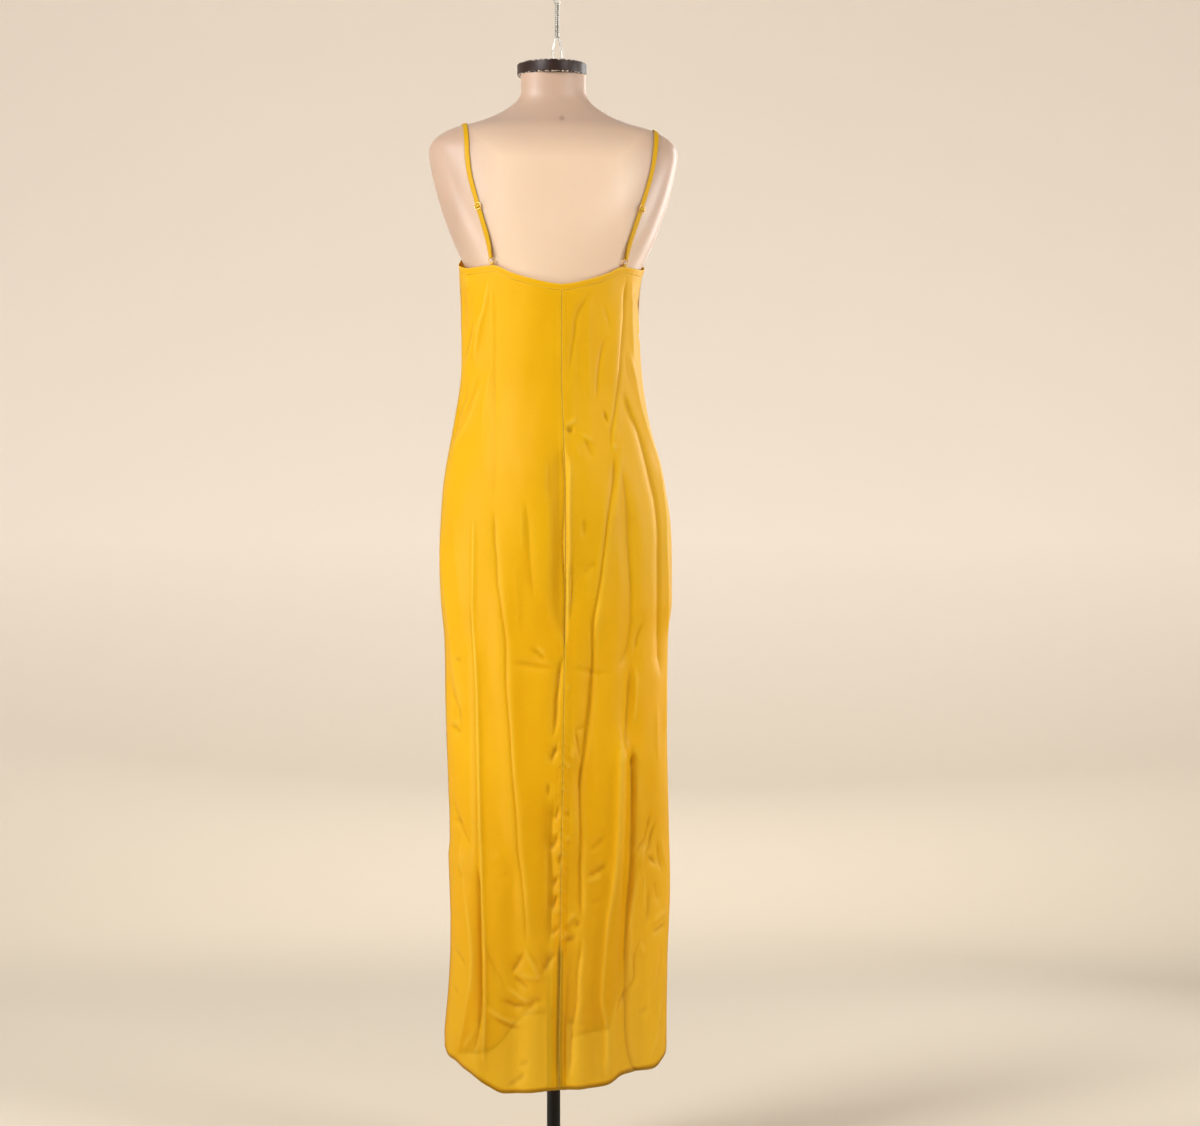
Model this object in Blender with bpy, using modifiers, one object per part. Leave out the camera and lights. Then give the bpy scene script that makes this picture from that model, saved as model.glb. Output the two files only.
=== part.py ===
"""A bias-cut maxi slip dress on a limbless display form with its stand.

The dress hangs on the form by two narrow adjustable straps. Its back has two panels joined by a
centre seam, its front is one panel with a V neck, and both side seams open into slits above a
curved shirt-tail hem. Metres, +Z up. The dress's back faces -Y and the wearer's right is +X.
The origin is the middle of the stand's underside.
"""

from collections import namedtuple
from math import cos, pi, radians, sin, sqrt

import bmesh
import bpy
import numpy as np
from mathutils import Matrix, Vector
from mathutils.bvhtree import BVHTree

MM = 0.001

# ---------------------------------------------------------------- driving sizes, in millimetres
SEAM_GAP = 0.3
CLOTH = 1.2
BAND_CLOTH = 1.6
BAND_DEPTH = 9.0
SIDE_SEAM_Y = 4.0
SLIT_TOP = 670.0
SLIT_OPENING = 26.0
BACK_COLUMNS = 16
FRONT_COLUMNS = 26
BACK_ROWS = 35
FRONT_ROWS = 34

STRAP_WIDTH = 7.5
STRAP_CLOTH = 1.0
STRAP_LIFT = 1.45
FRONT_END_LIFT = 3.6
FRONT_END_GAP = 1.2
SLIDER_LIFT = 3.4
SLIDER_WIDTH = 10.4
SLIDER_BAR = 1.1
SLIDER_BAR_PITCH = 4.2
SLOT_FAR = 3.3
SLOT_NEAR = 0.9
RING_RADIUS = 5.0
RING_WIRE = 0.7
RING_LIFT = 4.6
RING_RISE = 2.4
TAB_WIDTH = 6.0
TAB_FOOT_GAP = 1.2
LOOP_RADIUS = 1.65
LOOP_WIDTH = 4.8
LOOP_BLEND = 11.0

CAP_HALF_WIDTH = 52.5
CAP_HALF_DEPTH = 57.0
CAP_HEIGHT = 19.0
CAP_EASE = 3.0
NECK_TOP = 1652.0
NECK_FORWARD = 20.0

POLE_RADIUS = 10.0
BASE_RADIUS = 175.0
BASE_THICKNESS = 6.0
BASE_EASE = 1.5

WIRE_RADIUS = 1.3
WIRE_LEG_GAP = 14.0
WIRE_X = 8.0
WIRE_TWIST_RADIUS = 1.6
WIRE_TWIST_FOOT = 1712.0
WIRE_TWIST_HEAD = 1762.0
WIRE_TWIST_TURNS = 1.5
WIRE_EYE_RADIUS = 8.0

# ------------------------------------------------- the dress, level by level, in millimetres
# left and right are the side seams' distances from the middle, back and front the cloth's
# distances behind and before it, and seam is where the centre-back seam runs.
Level = namedtuple("Level", "height left right back front seam")
DRESS = [
    Level(1455, 174, 174, 102, 98, 0),
    Level(1395, 152, 152, 100, 108, 0),
    Level(1364, 141, 138, 99, 115, 0),
    Level(1340, 139, 131, 98, 124, 0),
    Level(1300, 137, 127, 97, 127, 0),
    Level(1240, 137, 130, 96, 124, 0),
    Level(1195, 138, 134, 96, 119, 0),
    Level(1135, 147, 144, 102, 116, 1),
    Level(1045, 163, 166, 117, 117, 2.5),
    Level(985, 168, 176, 122, 117, 2.5),
    Level(925, 170, 178, 123, 116, 2.5),
    Level(865, 168, 178, 121, 114, 2.5),
    Level(805, 162, 171, 118, 112, 2),
    Level(715, 161, 171, 115, 110, 1),
    Level(565, 157, 173, 112, 108, -1),
    Level(430, 154, 175, 110, 107, -3),
    Level(325, 155, 171, 109, 106, -4),
    Level(215, 163, 169, 108, 105, -5),
    Level(135, 165, 168, 108, 105, -5),
]

# An edge's height at each share of the way round from the middle of the panel to the side seam.
Edge = namedtuple("Edge", "share height")
BACK_PEAK = 1 / 2
BACK_TOP_PEAK = 1359
BACK_TOP = [
    Edge(0, 1330),
    Edge(0.1, 1333),
    Edge(0.2, 1338),
    Edge(0.35, 1347.5),
    Edge(BACK_PEAK, BACK_TOP_PEAK),
    Edge(0.76, 1357.5),
    Edge(1, 1364),
]
FRONT_PEAK = 5 / 13
FRONT_TOP_PEAK = 1447
FRONT_TOP = [
    Edge(0, 1352),
    Edge(FRONT_PEAK, FRONT_TOP_PEAK),
    Edge(0.55, 1404),
    Edge(0.76, 1377),
    Edge(1, 1364),
]
BACK_LEFT_HEM = [
    Edge(0, 147),
    Edge(0.15, 143),
    Edge(0.33, 141),
    Edge(0.44, 151),
    Edge(0.53, 164),
    Edge(0.65, 174),
    Edge(0.75, 184),
    Edge(0.87, 189),
    Edge(1, 201),
]
BACK_RIGHT_HEM = [
    Edge(0, 147),
    Edge(0.15, 148),
    Edge(0.25, 151),
    Edge(0.36, 163),
    Edge(0.5, 167),
    Edge(0.66, 169),
    Edge(0.77, 180),
    Edge(0.87, 187),
    Edge(1, 201),
]
FRONT_LEFT_HEM = [
    Edge(0, 229),
    Edge(0.15, 225),
    Edge(0.32, 180),
    Edge(0.6, 178),
    Edge(0.85, 188),
    Edge(1, 206),
]
FRONT_RIGHT_HEM = [
    Edge(0, 229),
    Edge(0.12, 217),
    Edge(0.41, 208),
    Edge(0.85, 204),
    Edge(1, 214),
]

# A long soft fold: it runs from (x_top, top) to (x_foot, foot), and stands out where lift is
# above zero and sinks in where it is below.
Fold = namedtuple("Fold", "top x_top foot x_foot width lift")
BACK_FOLDS = [
    Fold(1345, 95, 1053, 72, 10, 3),
    Fold(1060, 72, 780, 44, 13, 4),
    Fold(800, 46, 150, 4, 13, -4.5),
    Fold(1042, 104, 646, 96, 14, -3.5),
    Fold(690, 90, 60, 66, 13, 6),
    Fold(820, 112, 380, 100, 13, -4),
    Fold(1118, -8, 803, -8, 10, -4),
    Fold(924, -93, 360, -55, 15, 4),
    Fold(836, -127, 60, -118, 12, 5),
    Fold(1345, -104, 1200, -126, 10, 2.5),
    Fold(600, 26, 60, 24, 13, 5),
    Fold(600, -20, 60, -24, 14, -4),
    Fold(520, -72, 60, -70, 14, -5),
    Fold(640, 134, 60, 128, 14, -4),
]
FRONT_FOLDS = [
    Fold(1290, 70, 300, 92, 20, 5),
    Fold(1290, -70, 300, -92, 20, 5),
    Fold(1150, 30, 60, 46, 18, -5),
    Fold(1150, -34, 60, -50, 18, -5),
    Fold(900, 0, 60, 4, 17, 6),
    Fold(700, 128, 60, 126, 15, -5),
    Fold(700, -128, 60, -126, 15, -5),
]
FOLD_FADE = 70.0

# ------------------------------------------------- the form, level by level, in millimetres
# blunt is 2 for an ellipse and more where the ends are blunter.
FormLevel = namedtuple("FormLevel", "height half_width back front blunt")
FORM = [
    FormLevel(870, 150, 96, 92, 2),
    FormLevel(875, 156, 102, 98, 2),
    FormLevel(890, 159, 105, 101, 2),
    FormLevel(925, 162, 110, 105, 2),
    FormLevel(960, 162, 111, 106, 2),
    FormLevel(1010, 158, 109, 106, 2),
    FormLevel(1060, 147, 101, 104, 2),
    FormLevel(1120, 130, 89, 100, 2),
    FormLevel(1190, 114, 79, 94, 2),
    FormLevel(1240, 115, 81, 97, 2),
    FormLevel(1290, 119, 87, 104, 2),
    FormLevel(1325, 122, 91, 107, 2),
    FormLevel(1352, 128, 93, 105, 2),
    FormLevel(1371, 137, 94, 102, 2.05),
    FormLevel(1404, 152, 95, 96, 2.2),
    FormLevel(1442, 166, 93, 88, 2.35),
    FormLevel(1475, 176, 88, 80, 2.45),
    FormLevel(1510, 184, 80, 70, 2.5),
    FormLevel(1532, 187, 73, 62, 2.5),
    FormLevel(1547, 183, 67, 57, 2.45),
    FormLevel(1559, 171, 61, 54, 2.35),
    FormLevel(1570, 149, 56, 54, 2.2),
    FormLevel(1581, 111, 48, 58, 2.1),
    FormLevel(1596, 77, 39, 63, 2),
    FormLevel(1613, 55, 32, 67, 2),
    FormLevel(1630, 49, 30, 69, 2),
    FormLevel(NECK_TOP, 49, 30, 70, 2),
]
FORM_SIDES = 36
BUST_X = 70.0
BUST_HEIGHT = 1312.0
BUST_SPREAD = 44.0
FORM_BUST = 15.0
DRESS_BUST = 13.0

# Where each strap lies, by the angle round the shoulder: -90 is straight down behind it, 90 is
# its top and 180 its front.
StrapPlace = namedtuple("StrapPlace", "angle left right")
STRAP_PLACES = [
    StrapPlace(-57, -99, 98),
    StrapPlace(-20, -120, 121),
    StrapPlace(48, -136, 145),
    StrapPlace(90, -135, 152),
    StrapPlace(124, -130, 144),
    StrapPlace(197, -97, 97),
]
STRAP_HUB = 1470.0
STRAP_STEPS = 36
SLIDER_UP = 82.0
END_BLEND = 45.0


# ---------------------------------------------------------------- small tools
def smooth_at(position, positions, values):
    """A smooth curve through the table, level where a table turns back on itself."""
    xs = np.asarray(positions, float)
    ys = np.asarray(values, float)
    if xs[0] > xs[-1]:
        xs, ys = xs[::-1], ys[::-1]
    position = min(max(position, xs[0]), xs[-1])
    chords = np.diff(ys) / np.diff(xs)
    slopes = np.empty_like(ys)
    slopes[0], slopes[-1] = chords[0], chords[-1]
    same_way = chords[:-1] * chords[1:] > 0
    slopes[1:-1] = np.where(same_way, 0.5 * (chords[:-1] + chords[1:]), 0)
    i = int(min(np.searchsorted(xs, position, side="right") - 1, len(xs) - 2))
    step = xs[i + 1] - xs[i]
    t = (position - xs[i]) / step
    rest = 1 - t
    value = ys[i] * (1 + 2 * t) * rest**2 + ys[i + 1] * t**2 * (3 - 2 * t)
    return value + step * (slopes[i] * t * rest**2 - slopes[i + 1] * t**2 * rest)


def column(table, name):
    return [getattr(row, name) for row in table]


def from_table(table, key, name, position):
    return smooth_at(position, column(table, key), column(table, name))


def fade(distance, length):
    """0 at the end of a fold, 1 once it is length away from it."""
    t = min(max(distance / length, 0), 1)
    return t * t * (3 - 2 * t)


def make_object(name, mesh, material, parts):
    thing = bpy.data.objects.new(name, mesh)
    mesh.materials.append(material)
    parts.objects.link(thing)
    return thing


def finish_mesh(bm, name):
    """The bmesh as a mesh, in metres, with its faces pointing out and its round parts smooth."""
    bmesh.ops.scale(bm, vec=(MM, MM, MM), verts=bm.verts)
    bmesh.ops.recalc_face_normals(bm, faces=bm.faces)
    mesh = bpy.data.meshes.new(name)
    bm.to_mesh(mesh)
    bm.free()
    mesh.shade_smooth()
    mesh.set_sharp_from_angle(angle=radians(50))
    return mesh


def make_material(name, colour, roughness, metallic=0.0):
    material = bpy.data.materials.new(name)
    material.use_nodes = True
    shader = material.node_tree.nodes["Principled BSDF"]
    shader.inputs["Base Color"].default_value = (*colour, 1)
    shader.inputs["Roughness"].default_value = roughness
    shader.inputs["Metallic"].default_value = metallic
    return material


def sheet_mesh(name, points):
    """An open sheet through a grid of points: a row of points for each row of cloth."""
    bm = bmesh.new()
    grid = [[bm.verts.new(point) for point in row] for row in points]
    for upper, lower in zip(grid, grid[1:]):
        for k in range(len(upper) - 1):
            bm.faces.new((upper[k], lower[k], lower[k + 1], upper[k + 1]))
    return finish_mesh(bm, name)


def sheet(name, points, thickness, material, parts):
    thing = make_object(name, sheet_mesh(name, points), material, parts)
    wall = thing.modifiers.new("Cloth", "SOLIDIFY")
    wall.thickness = thickness * MM
    wall.offset = 0
    wall.use_even_offset = True
    return thing


# ---------------------------------------------------------------- the dress's surface
def fold_lift(folds, x, height):
    total = 0
    for fold in folds:
        if fold.foot < height < fold.top:
            t = (fold.top - height) / (fold.top - fold.foot)
            middle = fold.x_top + (fold.x_foot - fold.x_top) * t
            near_end = fade(fold.top - height, FOLD_FADE) * fade(height - fold.foot, FOLD_FADE)
            total += fold.lift * near_end * np.exp(-(((x - middle) / fold.width) ** 2))
    return total


def bust_lift(x, height, lift):
    across = (abs(x) - BUST_X) / BUST_SPREAD
    along = (height - BUST_HEIGHT) / BUST_SPREAD
    return lift * np.exp(-(across**2) - along**2)


def slit_opening(height):
    return SLIT_OPENING * fade(SLIT_TOP - height, SLIT_TOP - 150)


def dress_point(side, share, height, front):
    """A point of the cloth: side is -1 or 1, share runs from the middle to the side seam."""
    turn = share * pi / 2
    seam = 0 if front else from_table(DRESS, "height", "seam", height)
    reach = from_table(DRESS, "height", "left" if side < 0 else "right", height)
    depth = from_table(DRESS, "height", "front" if front else "back", height)
    x = seam + (side * reach - seam) * sin(turn)
    outward = 1 if front else -1
    y = SIDE_SEAM_Y + (outward * depth - SIDE_SEAM_Y) * cos(turn)
    y += outward * 0.5 * slit_opening(height) * sin(turn) ** 4
    lift = fold_lift(FRONT_FOLDS if front else BACK_FOLDS, x, height)
    if front:
        lift += bust_lift(x, height, DRESS_BUST)
    return Vector((x + side * lift * sin(turn), y + outward * lift * cos(turn), height))


def edge_at(edge, share):
    return from_table(edge, "share", "height", share)


def peaked_edge(share):
    """The front's top edge, straight up the V and then curved down under the arm."""
    if share <= FRONT_PEAK:
        low, high = FRONT_TOP[0], FRONT_TOP[1]
        x_share = sin(share * pi / 2) / sin(FRONT_PEAK * pi / 2)
        return low.height + (high.height - low.height) * x_share
    return edge_at(FRONT_TOP[1:], share)


def panel_rows(shares, rows, front, top, hem):
    """Rows of points from the top edge down to the hem. A share below zero is the left side."""
    grid = []
    for r in range(rows + 1):
        row = []
        for share in shares:
            side = -1 if share < 0 else 1
            high, low = top(share), hem(share)
            height = high + (low - high) * r / rows
            row.append(dress_point(side, abs(share), height, front))
        grid.append(row)
    return grid


def shift_column(grid, k, toward, gap):
    """Moves one edge column of a grid along the cloth, to leave a gap at its seam."""
    for row in grid:
        step = row[toward] - row[k]
        row[k] += step.normalized() * gap


def make_back_panel(name, side, hem_table, material, parts):
    shares = [side * k / BACK_COLUMNS for k in range(BACK_COLUMNS + 1)]
    shares[0] = side * 1e-9

    def top(share):
        return edge_at(BACK_TOP, abs(share)) - BAND_DEPTH - SEAM_GAP

    def hem(share):
        return edge_at(hem_table, abs(share))

    grid = panel_rows(shares, BACK_ROWS, False, top, hem)
    shift_column(grid, 0, 1, SEAM_GAP / 2)
    shift_column(grid, -1, -2, SEAM_GAP / 2)
    return sheet(name, grid, CLOTH, material, parts)


def make_front_panel(name, material, parts):
    half = FRONT_COLUMNS // 2
    shares = [k / half for k in range(-half, half + 1)]

    def top(share):
        return peaked_edge(abs(share)) - BAND_DEPTH - SEAM_GAP

    def hem(share):
        return edge_at(FRONT_LEFT_HEM if share < 0 else FRONT_RIGHT_HEM, abs(share))

    grid = panel_rows(shares, FRONT_ROWS, True, top, hem)
    shift_column(grid, 0, 1, SEAM_GAP / 2)
    shift_column(grid, -1, -2, SEAM_GAP / 2)
    return sheet(name, grid, CLOTH, material, parts)


def make_band(name, front, columns, material, parts):
    """The narrow band that binds the top edge, from side seam to side seam."""
    half = columns // 2
    shares = [k / half for k in range(-half, half + 1)]

    def top(share):
        return peaked_edge(abs(share)) if front else edge_at(BACK_TOP, abs(share))

    def foot(share):
        return top(share) - BAND_DEPTH

    grid = panel_rows(shares, 2, front, top, foot)
    shift_column(grid, 0, 1, SEAM_GAP / 2)
    shift_column(grid, -1, -2, SEAM_GAP / 2)
    return sheet(name, grid, BAND_CLOTH, material, parts)


# ---------------------------------------------------------------- the form
def form_ring(bm, level):
    ring = []
    power = 2 / level.blunt
    for k in range(FORM_SIDES):
        turn = 2 * pi * k / FORM_SIDES
        across, toward_front = sin(turn), cos(turn)
        x = level.half_width * abs(across) ** power * (1 if across > 0 else -1)
        if toward_front > 0:
            y = level.front * toward_front**power
            y += bust_lift(x, level.height, FORM_BUST) * toward_front
        else:
            y = -level.back * (-toward_front) ** power
        ring.append(bm.verts.new((x, y, level.height)))
    return ring


def make_form(material, parts):
    bm = bmesh.new()
    rings = [form_ring(bm, level) for level in FORM]
    for lower, upper in zip(rings, rings[1:]):
        for k in range(FORM_SIDES):
            following = (k + 1) % FORM_SIDES
            bm.faces.new((lower[k], lower[following], upper[following], upper[k]))
    bm.faces.new(rings[0])
    bm.faces.new(rings[-1])
    return make_object("form_torso", finish_mesh(bm, "form_torso"), material, parts)


def make_round(name, radii, height, middle, sides, material, parts):
    """An upright round or oval piece; middle is the middle of its underside."""
    bm = bmesh.new()
    bmesh.ops.create_cone(
        bm, cap_ends=True, segments=sides, radius1=1, radius2=1, depth=height
    )
    bmesh.ops.scale(bm, vec=(*radii, 1), verts=bm.verts)
    bmesh.ops.translate(bm, vec=(0, 0, height / 2), verts=bm.verts)
    bmesh.ops.translate(bm, vec=middle, verts=bm.verts)
    return make_object(name, finish_mesh(bm, name), material, parts)


def ease_rims(thing, width):
    ease = thing.modifiers.new("Eased rim", "BEVEL")
    ease.width = width * MM
    ease.segments = 2
    ease.limit_method = "ANGLE"
    ease.angle_limit = radians(50)


def make_stand(material, parts):
    """The pole that stands in the middle of its round foot plate."""
    foot = BASE_THICKNESS + SEAM_GAP
    height = FORM[0].height - SEAM_GAP - foot
    radii = (POLE_RADIUS, POLE_RADIUS)
    make_round("pole", radii, height, (0, 0, foot), 24, material, parts)
    radii = (BASE_RADIUS, BASE_RADIUS)
    base = make_round("base", radii, BASE_THICKNESS, (0, 0, 0), 64, material, parts)
    ease_rims(base, BASE_EASE)


def make_neck_cap(material, parts):
    radii = (CAP_HALF_WIDTH, CAP_HALF_DEPTH)
    middle = (0, NECK_FORWARD, NECK_TOP + SEAM_GAP)
    cap = make_round("neck_cap", radii, CAP_HEIGHT, middle, 36, material, parts)
    ease_rims(cap, CAP_EASE)


# ---------------------------------------------------------------- the hanging loop
def hanging_loop_points():
    """Up one leg, twisted round the other, once round the eye and down again."""
    foot = NECK_TOP + SEAM_GAP + CAP_HEIGHT + SEAM_GAP
    steps = 12
    rising = []
    for height in (foot, foot + 12, foot + 24):
        rising.append((WIRE_LEG_GAP / 2, 0, height))
    for k in range(steps + 1):
        t = k / steps
        turn = 2 * pi * WIRE_TWIST_TURNS * t
        x, y = WIRE_TWIST_RADIUS * cos(turn), WIRE_TWIST_RADIUS * sin(turn)
        height = WIRE_TWIST_FOOT + (WIRE_TWIST_HEAD - WIRE_TWIST_FOOT) * t
        rising.append((x, y, height))
    eye = []
    eye_middle = WIRE_TWIST_HEAD + WIRE_EYE_RADIUS + 5
    side = cos(2 * pi * WIRE_TWIST_TURNS)
    for k in range(13):
        turn = radians(-60 + 300 * k / 12)
        x, up = side * WIRE_EYE_RADIUS * cos(turn), WIRE_EYE_RADIUS * sin(turn)
        eye.append((x, 0, eye_middle + up))
    falling = [(-x, -y, height) for x, y, height in reversed(rising)]
    return rising + eye + falling


def make_hanging_loop(material, parts):
    curve = bpy.data.curves.new("hanging_loop", "CURVE")
    curve.dimensions = "3D"
    curve.bevel_depth = WIRE_RADIUS * MM
    curve.bevel_resolution = 2
    curve.use_fill_caps = True
    points = hanging_loop_points()
    spline = curve.splines.new("POLY")
    spline.points.add(len(points) - 1)
    for target, (x, y, height) in zip(spline.points, points):
        target.co = ((WIRE_X + x) * MM, (NECK_FORWARD + y) * MM, height * MM, 1)
    return make_object("hanging_loop", curve, material, parts)


# ---------------------------------------------------------------- the straps
class Route:
    """A strap's way over the form: s runs from the ring's middle, over the shoulder, to the front."""

    def __init__(self, points, outward):
        self.points = np.array([tuple(p) for p in points])
        self.outward = np.array([tuple(n) for n in outward])
        steps = np.linalg.norm(np.diff(self.points, axis=0), axis=1)
        self.s = np.concatenate([[0], np.cumsum(steps)])
        self.length = float(self.s[-1])

    def sample(self, table, s):
        return Vector([float(np.interp(s, self.s, table[:, axis])) for axis in range(3)])

    def frame(self, s):
        """The point on the form, and the directions along, out and across there."""
        inside = min(max(s, 0), self.length)
        along = self.sample(self.points, inside + 3) - self.sample(self.points, inside - 3)
        along.normalize()
        out = self.sample(self.outward, inside)
        out = (out - along * out.dot(along)).normalized()
        point = self.sample(self.points, inside) + along * (s - inside)
        return point, along, out, along.cross(out)

    def place(self, s, lift):
        point, _, out, _ = self.frame(s)
        return point + out * lift


def smoothed(vectors):
    rows = np.array([tuple(v) for v in vectors])
    for _ in range(6):
        rows[1:-1] = (rows[:-2] + 2 * rows[1:-1] + rows[2:]) / 4
    return [Vector(row).normalized() for row in rows]


def strap_hits(tree, side):
    """Points of the form under a strap, from behind it to its front, and their directions out."""
    name = "left" if side < 0 else "right"
    first, last = STRAP_PLACES[0].angle, STRAP_PLACES[-1].angle
    hits, normals = [], []
    for k in range(STRAP_STEPS + 1):
        angle = first + (last - first) * k / STRAP_STEPS
        hub = Vector((from_table(STRAP_PLACES, "angle", name, angle), 0, STRAP_HUB))
        ray = Vector((0, -cos(radians(angle)), sin(radians(angle))))
        hit, normal, _, _ = tree.ray_cast(hub * MM, ray)
        hits.append(hit / MM)
        normals.append(normal)
    return hits, smoothed(normals)


def depth_inside(tree, point):
    """How far a point lies inside the form, below zero where it is outside."""
    nearest, normal, _, _ = tree.find_nearest(point * MM)
    return -(point * MM - nearest).dot(normal) / MM


def laid_over(tree, hits, normals):
    """The hits raised until a flat strap through them touches the form without cutting it."""
    draft = Route(hits, normals)
    tests = 4 * STRAP_STEPS
    sunk = []
    for k in range(tests + 1):
        point, _, _, across = draft.frame(draft.length * k / tests)
        edge = across * STRAP_WIDTH / 2
        sunk.append(max(0, *(depth_inside(tree, point + edge * t) for t in (-1, 0, 1))))
    places = draft.length * np.arange(tests + 1) / tests
    raised = []
    for s, hit, normal in zip(draft.s, hits, normals):
        near = np.abs(places - s) < draft.length / STRAP_STEPS * 1.3
        raised.append(hit + normal * float(np.max(np.array(sunk)[near])))
    return raised


def ring_anchor(side):
    return dress_point(side, BACK_PEAK, BACK_TOP_PEAK, False)


def strap_route(form, side):
    """The strap's way over the form, drawn at each end to the dress's own strap points."""
    tree = BVHTree.FromObject(form, bpy.context.evaluated_depsgraph_get())
    hits, normals = strap_hits(tree, side)
    hits = laid_over(tree, hits, normals)
    anchor = ring_anchor(side)
    up = (hits[4] + normals[4] * RING_LIFT - anchor).normalized()
    ring_middle = anchor + up * (RING_RISE + RING_RADIUS)
    front_end = dress_point(side, FRONT_PEAK, FRONT_TOP_PEAK + FRONT_END_GAP, True)
    ring_pull = ring_middle - (hits[0] + normals[0] * RING_LIFT)
    front_pull = front_end - (hits[-1] + normals[-1] * FRONT_END_LIFT)
    draft = Route(hits, normals)
    points = []
    for s, hit in zip(draft.s, hits):
        near_ring = 1 - fade(s, END_BLEND)
        near_front = 1 - fade(draft.length - s, END_BLEND)
        points.append(hit + ring_pull * near_ring + front_pull * near_front)
    return Route(points, normals)


# A place along a strap: s on its route, lift off the form, width, and how far its edges follow
# the round wire of the ring.
Station = namedtuple("Station", "s lift width curl")


def strap_stations(route):
    """From the front end over the shoulder, through the slider and the ring, and back up."""
    over = LOOP_RADIUS - 0.3
    bar = SLIDER_BAR_PITCH
    after_slider = SLIDER_UP + 3 * bar
    stations = []
    steps = 24
    for k in range(steps + 1):
        s = route.length + (after_slider - route.length) * k / steps
        near_front = 1 - fade(route.length - s, END_BLEND)
        lift = STRAP_LIFT + (FRONT_END_LIFT - STRAP_LIFT) * near_front
        stations.append(Station(s, lift, STRAP_WIDTH, 0))
    stations += [
        Station(SLIDER_UP + bar, SLIDER_LIFT - over, STRAP_WIDTH, 0),
        Station(SLIDER_UP + SLOT_FAR, SLIDER_LIFT - over, STRAP_WIDTH, 0),
        Station(SLIDER_UP + SLOT_NEAR, SLIDER_LIFT + over, STRAP_WIDTH, 0),
        Station(SLIDER_UP - SLOT_NEAR, SLIDER_LIFT + over, STRAP_WIDTH, 0),
        Station(SLIDER_UP - SLOT_FAR, SLIDER_LIFT - over, STRAP_WIDTH, 0),
        Station(SLIDER_UP - bar, SLIDER_LIFT - over, STRAP_WIDTH, 0),
        Station(SLIDER_UP - 2 * bar, 2.2, STRAP_WIDTH, 0),
        Station(60, 2.4, STRAP_WIDTH, 0),
        Station(40, 2.6, STRAP_WIDTH, 0),
        Station(RING_RADIUS + 2 * LOOP_BLEND, 3.4, STRAP_WIDTH, 0),
        Station(RING_RADIUS + LOOP_BLEND, 4.7, 6.6, 0.2),
        Station(RING_RADIUS + 0.4 * LOOP_BLEND, 5.8, 5.4, 0.7),
    ]
    bend = 8
    for k in range(bend + 1):
        turn = pi * k / bend
        s = RING_RADIUS - LOOP_RADIUS * sin(turn)
        stations.append(Station(s, RING_LIFT + LOOP_RADIUS * cos(turn), LOOP_WIDTH, 1))
    stations += [
        Station(RING_RADIUS + 0.4 * LOOP_BLEND, 2.9, 5.4, 0.7),
        Station(RING_RADIUS + LOOP_BLEND, 2.5, 6.6, 0.2),
        Station(RING_RADIUS + 2 * LOOP_BLEND, 1.7, STRAP_WIDTH, 0),
        Station(40, 1.2, STRAP_WIDTH, 0),
        Station(60, 1.1, STRAP_WIDTH, 0),
        Station(SLIDER_UP - 2 * bar, 0.95, STRAP_WIDTH, 0),
        Station(SLIDER_UP - bar, 0.85, STRAP_WIDTH, 0),
        Station(SLIDER_UP - 2, 1.6, STRAP_WIDTH, 0),
    ]
    return stations


def ring_sag(reach):
    """How far the ring's round wire falls back from its top, at a distance across it."""
    return RING_RADIUS - sqrt(RING_RADIUS**2 - reach**2)


def make_strap(name, route, material, parts):
    grid = []
    for station in strap_stations(route):
        point, along, out, across = route.frame(station.s)
        reach = station.width / 2
        drop = along * station.curl * ring_sag(min(reach, LOOP_WIDTH / 2))
        middle = point + out * station.lift
        grid.append([middle - across * reach - drop, middle, middle + across * reach - drop])
    return sheet(name, grid, STRAP_CLOTH, material, parts)


def make_strap_tab(name, route, material, parts):
    """The short loop that is sewn into the band and holds the ring."""
    point, along, out, across = route.frame(0)
    middle = point + out * RING_LIFT
    foot = -RING_RADIUS - RING_RISE + TAB_FOOT_GAP
    leg = 0.65
    profile = [(foot, leg, TAB_WIDTH, 0), (foot / 2 - RING_RADIUS / 2, 1.3, 5.4, 0.6)]
    bend = 8
    for k in range(bend + 1):
        turn = pi * k / bend
        rise = LOOP_RADIUS * sin(turn) - RING_RADIUS
        profile.append((rise, LOOP_RADIUS * cos(turn), LOOP_WIDTH, 1))
    profile += [(foot / 2 - RING_RADIUS / 2, -1.3, 5.4, 0.6), (foot, -leg, TAB_WIDTH, 0)]
    grid = []
    for rise, lift, width, curl in profile:
        centre = middle + along * rise + out * lift
        lead = along * curl * ring_sag(min(width, LOOP_WIDTH) / 2)
        edge = across * width / 2
        grid.append([centre - edge + lead, centre, centre + edge + lead])
    return sheet(name, grid, STRAP_CLOTH, material, parts)


def local_frame(middle, across, along, out):
    turn = Matrix((across, along, out)).transposed().to_4x4()
    return Matrix.Translation(middle * MM) @ turn


def make_ring(name, route, material, parts):
    bpy.ops.mesh.primitive_torus_add(
        major_radius=RING_RADIUS * MM,
        minor_radius=RING_WIRE * MM,
        major_segments=20,
        minor_segments=6,
    )
    ring = bpy.context.object
    for collection in ring.users_collection:
        collection.objects.unlink(ring)
    ring.name = name
    ring.data.name = name
    ring.data.materials.append(material)
    ring.data.shade_smooth()
    parts.objects.link(ring)
    point, along, out, across = route.frame(0)
    ring.matrix_world = local_frame(point + out * RING_LIFT, across, along, out)
    return ring


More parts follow.
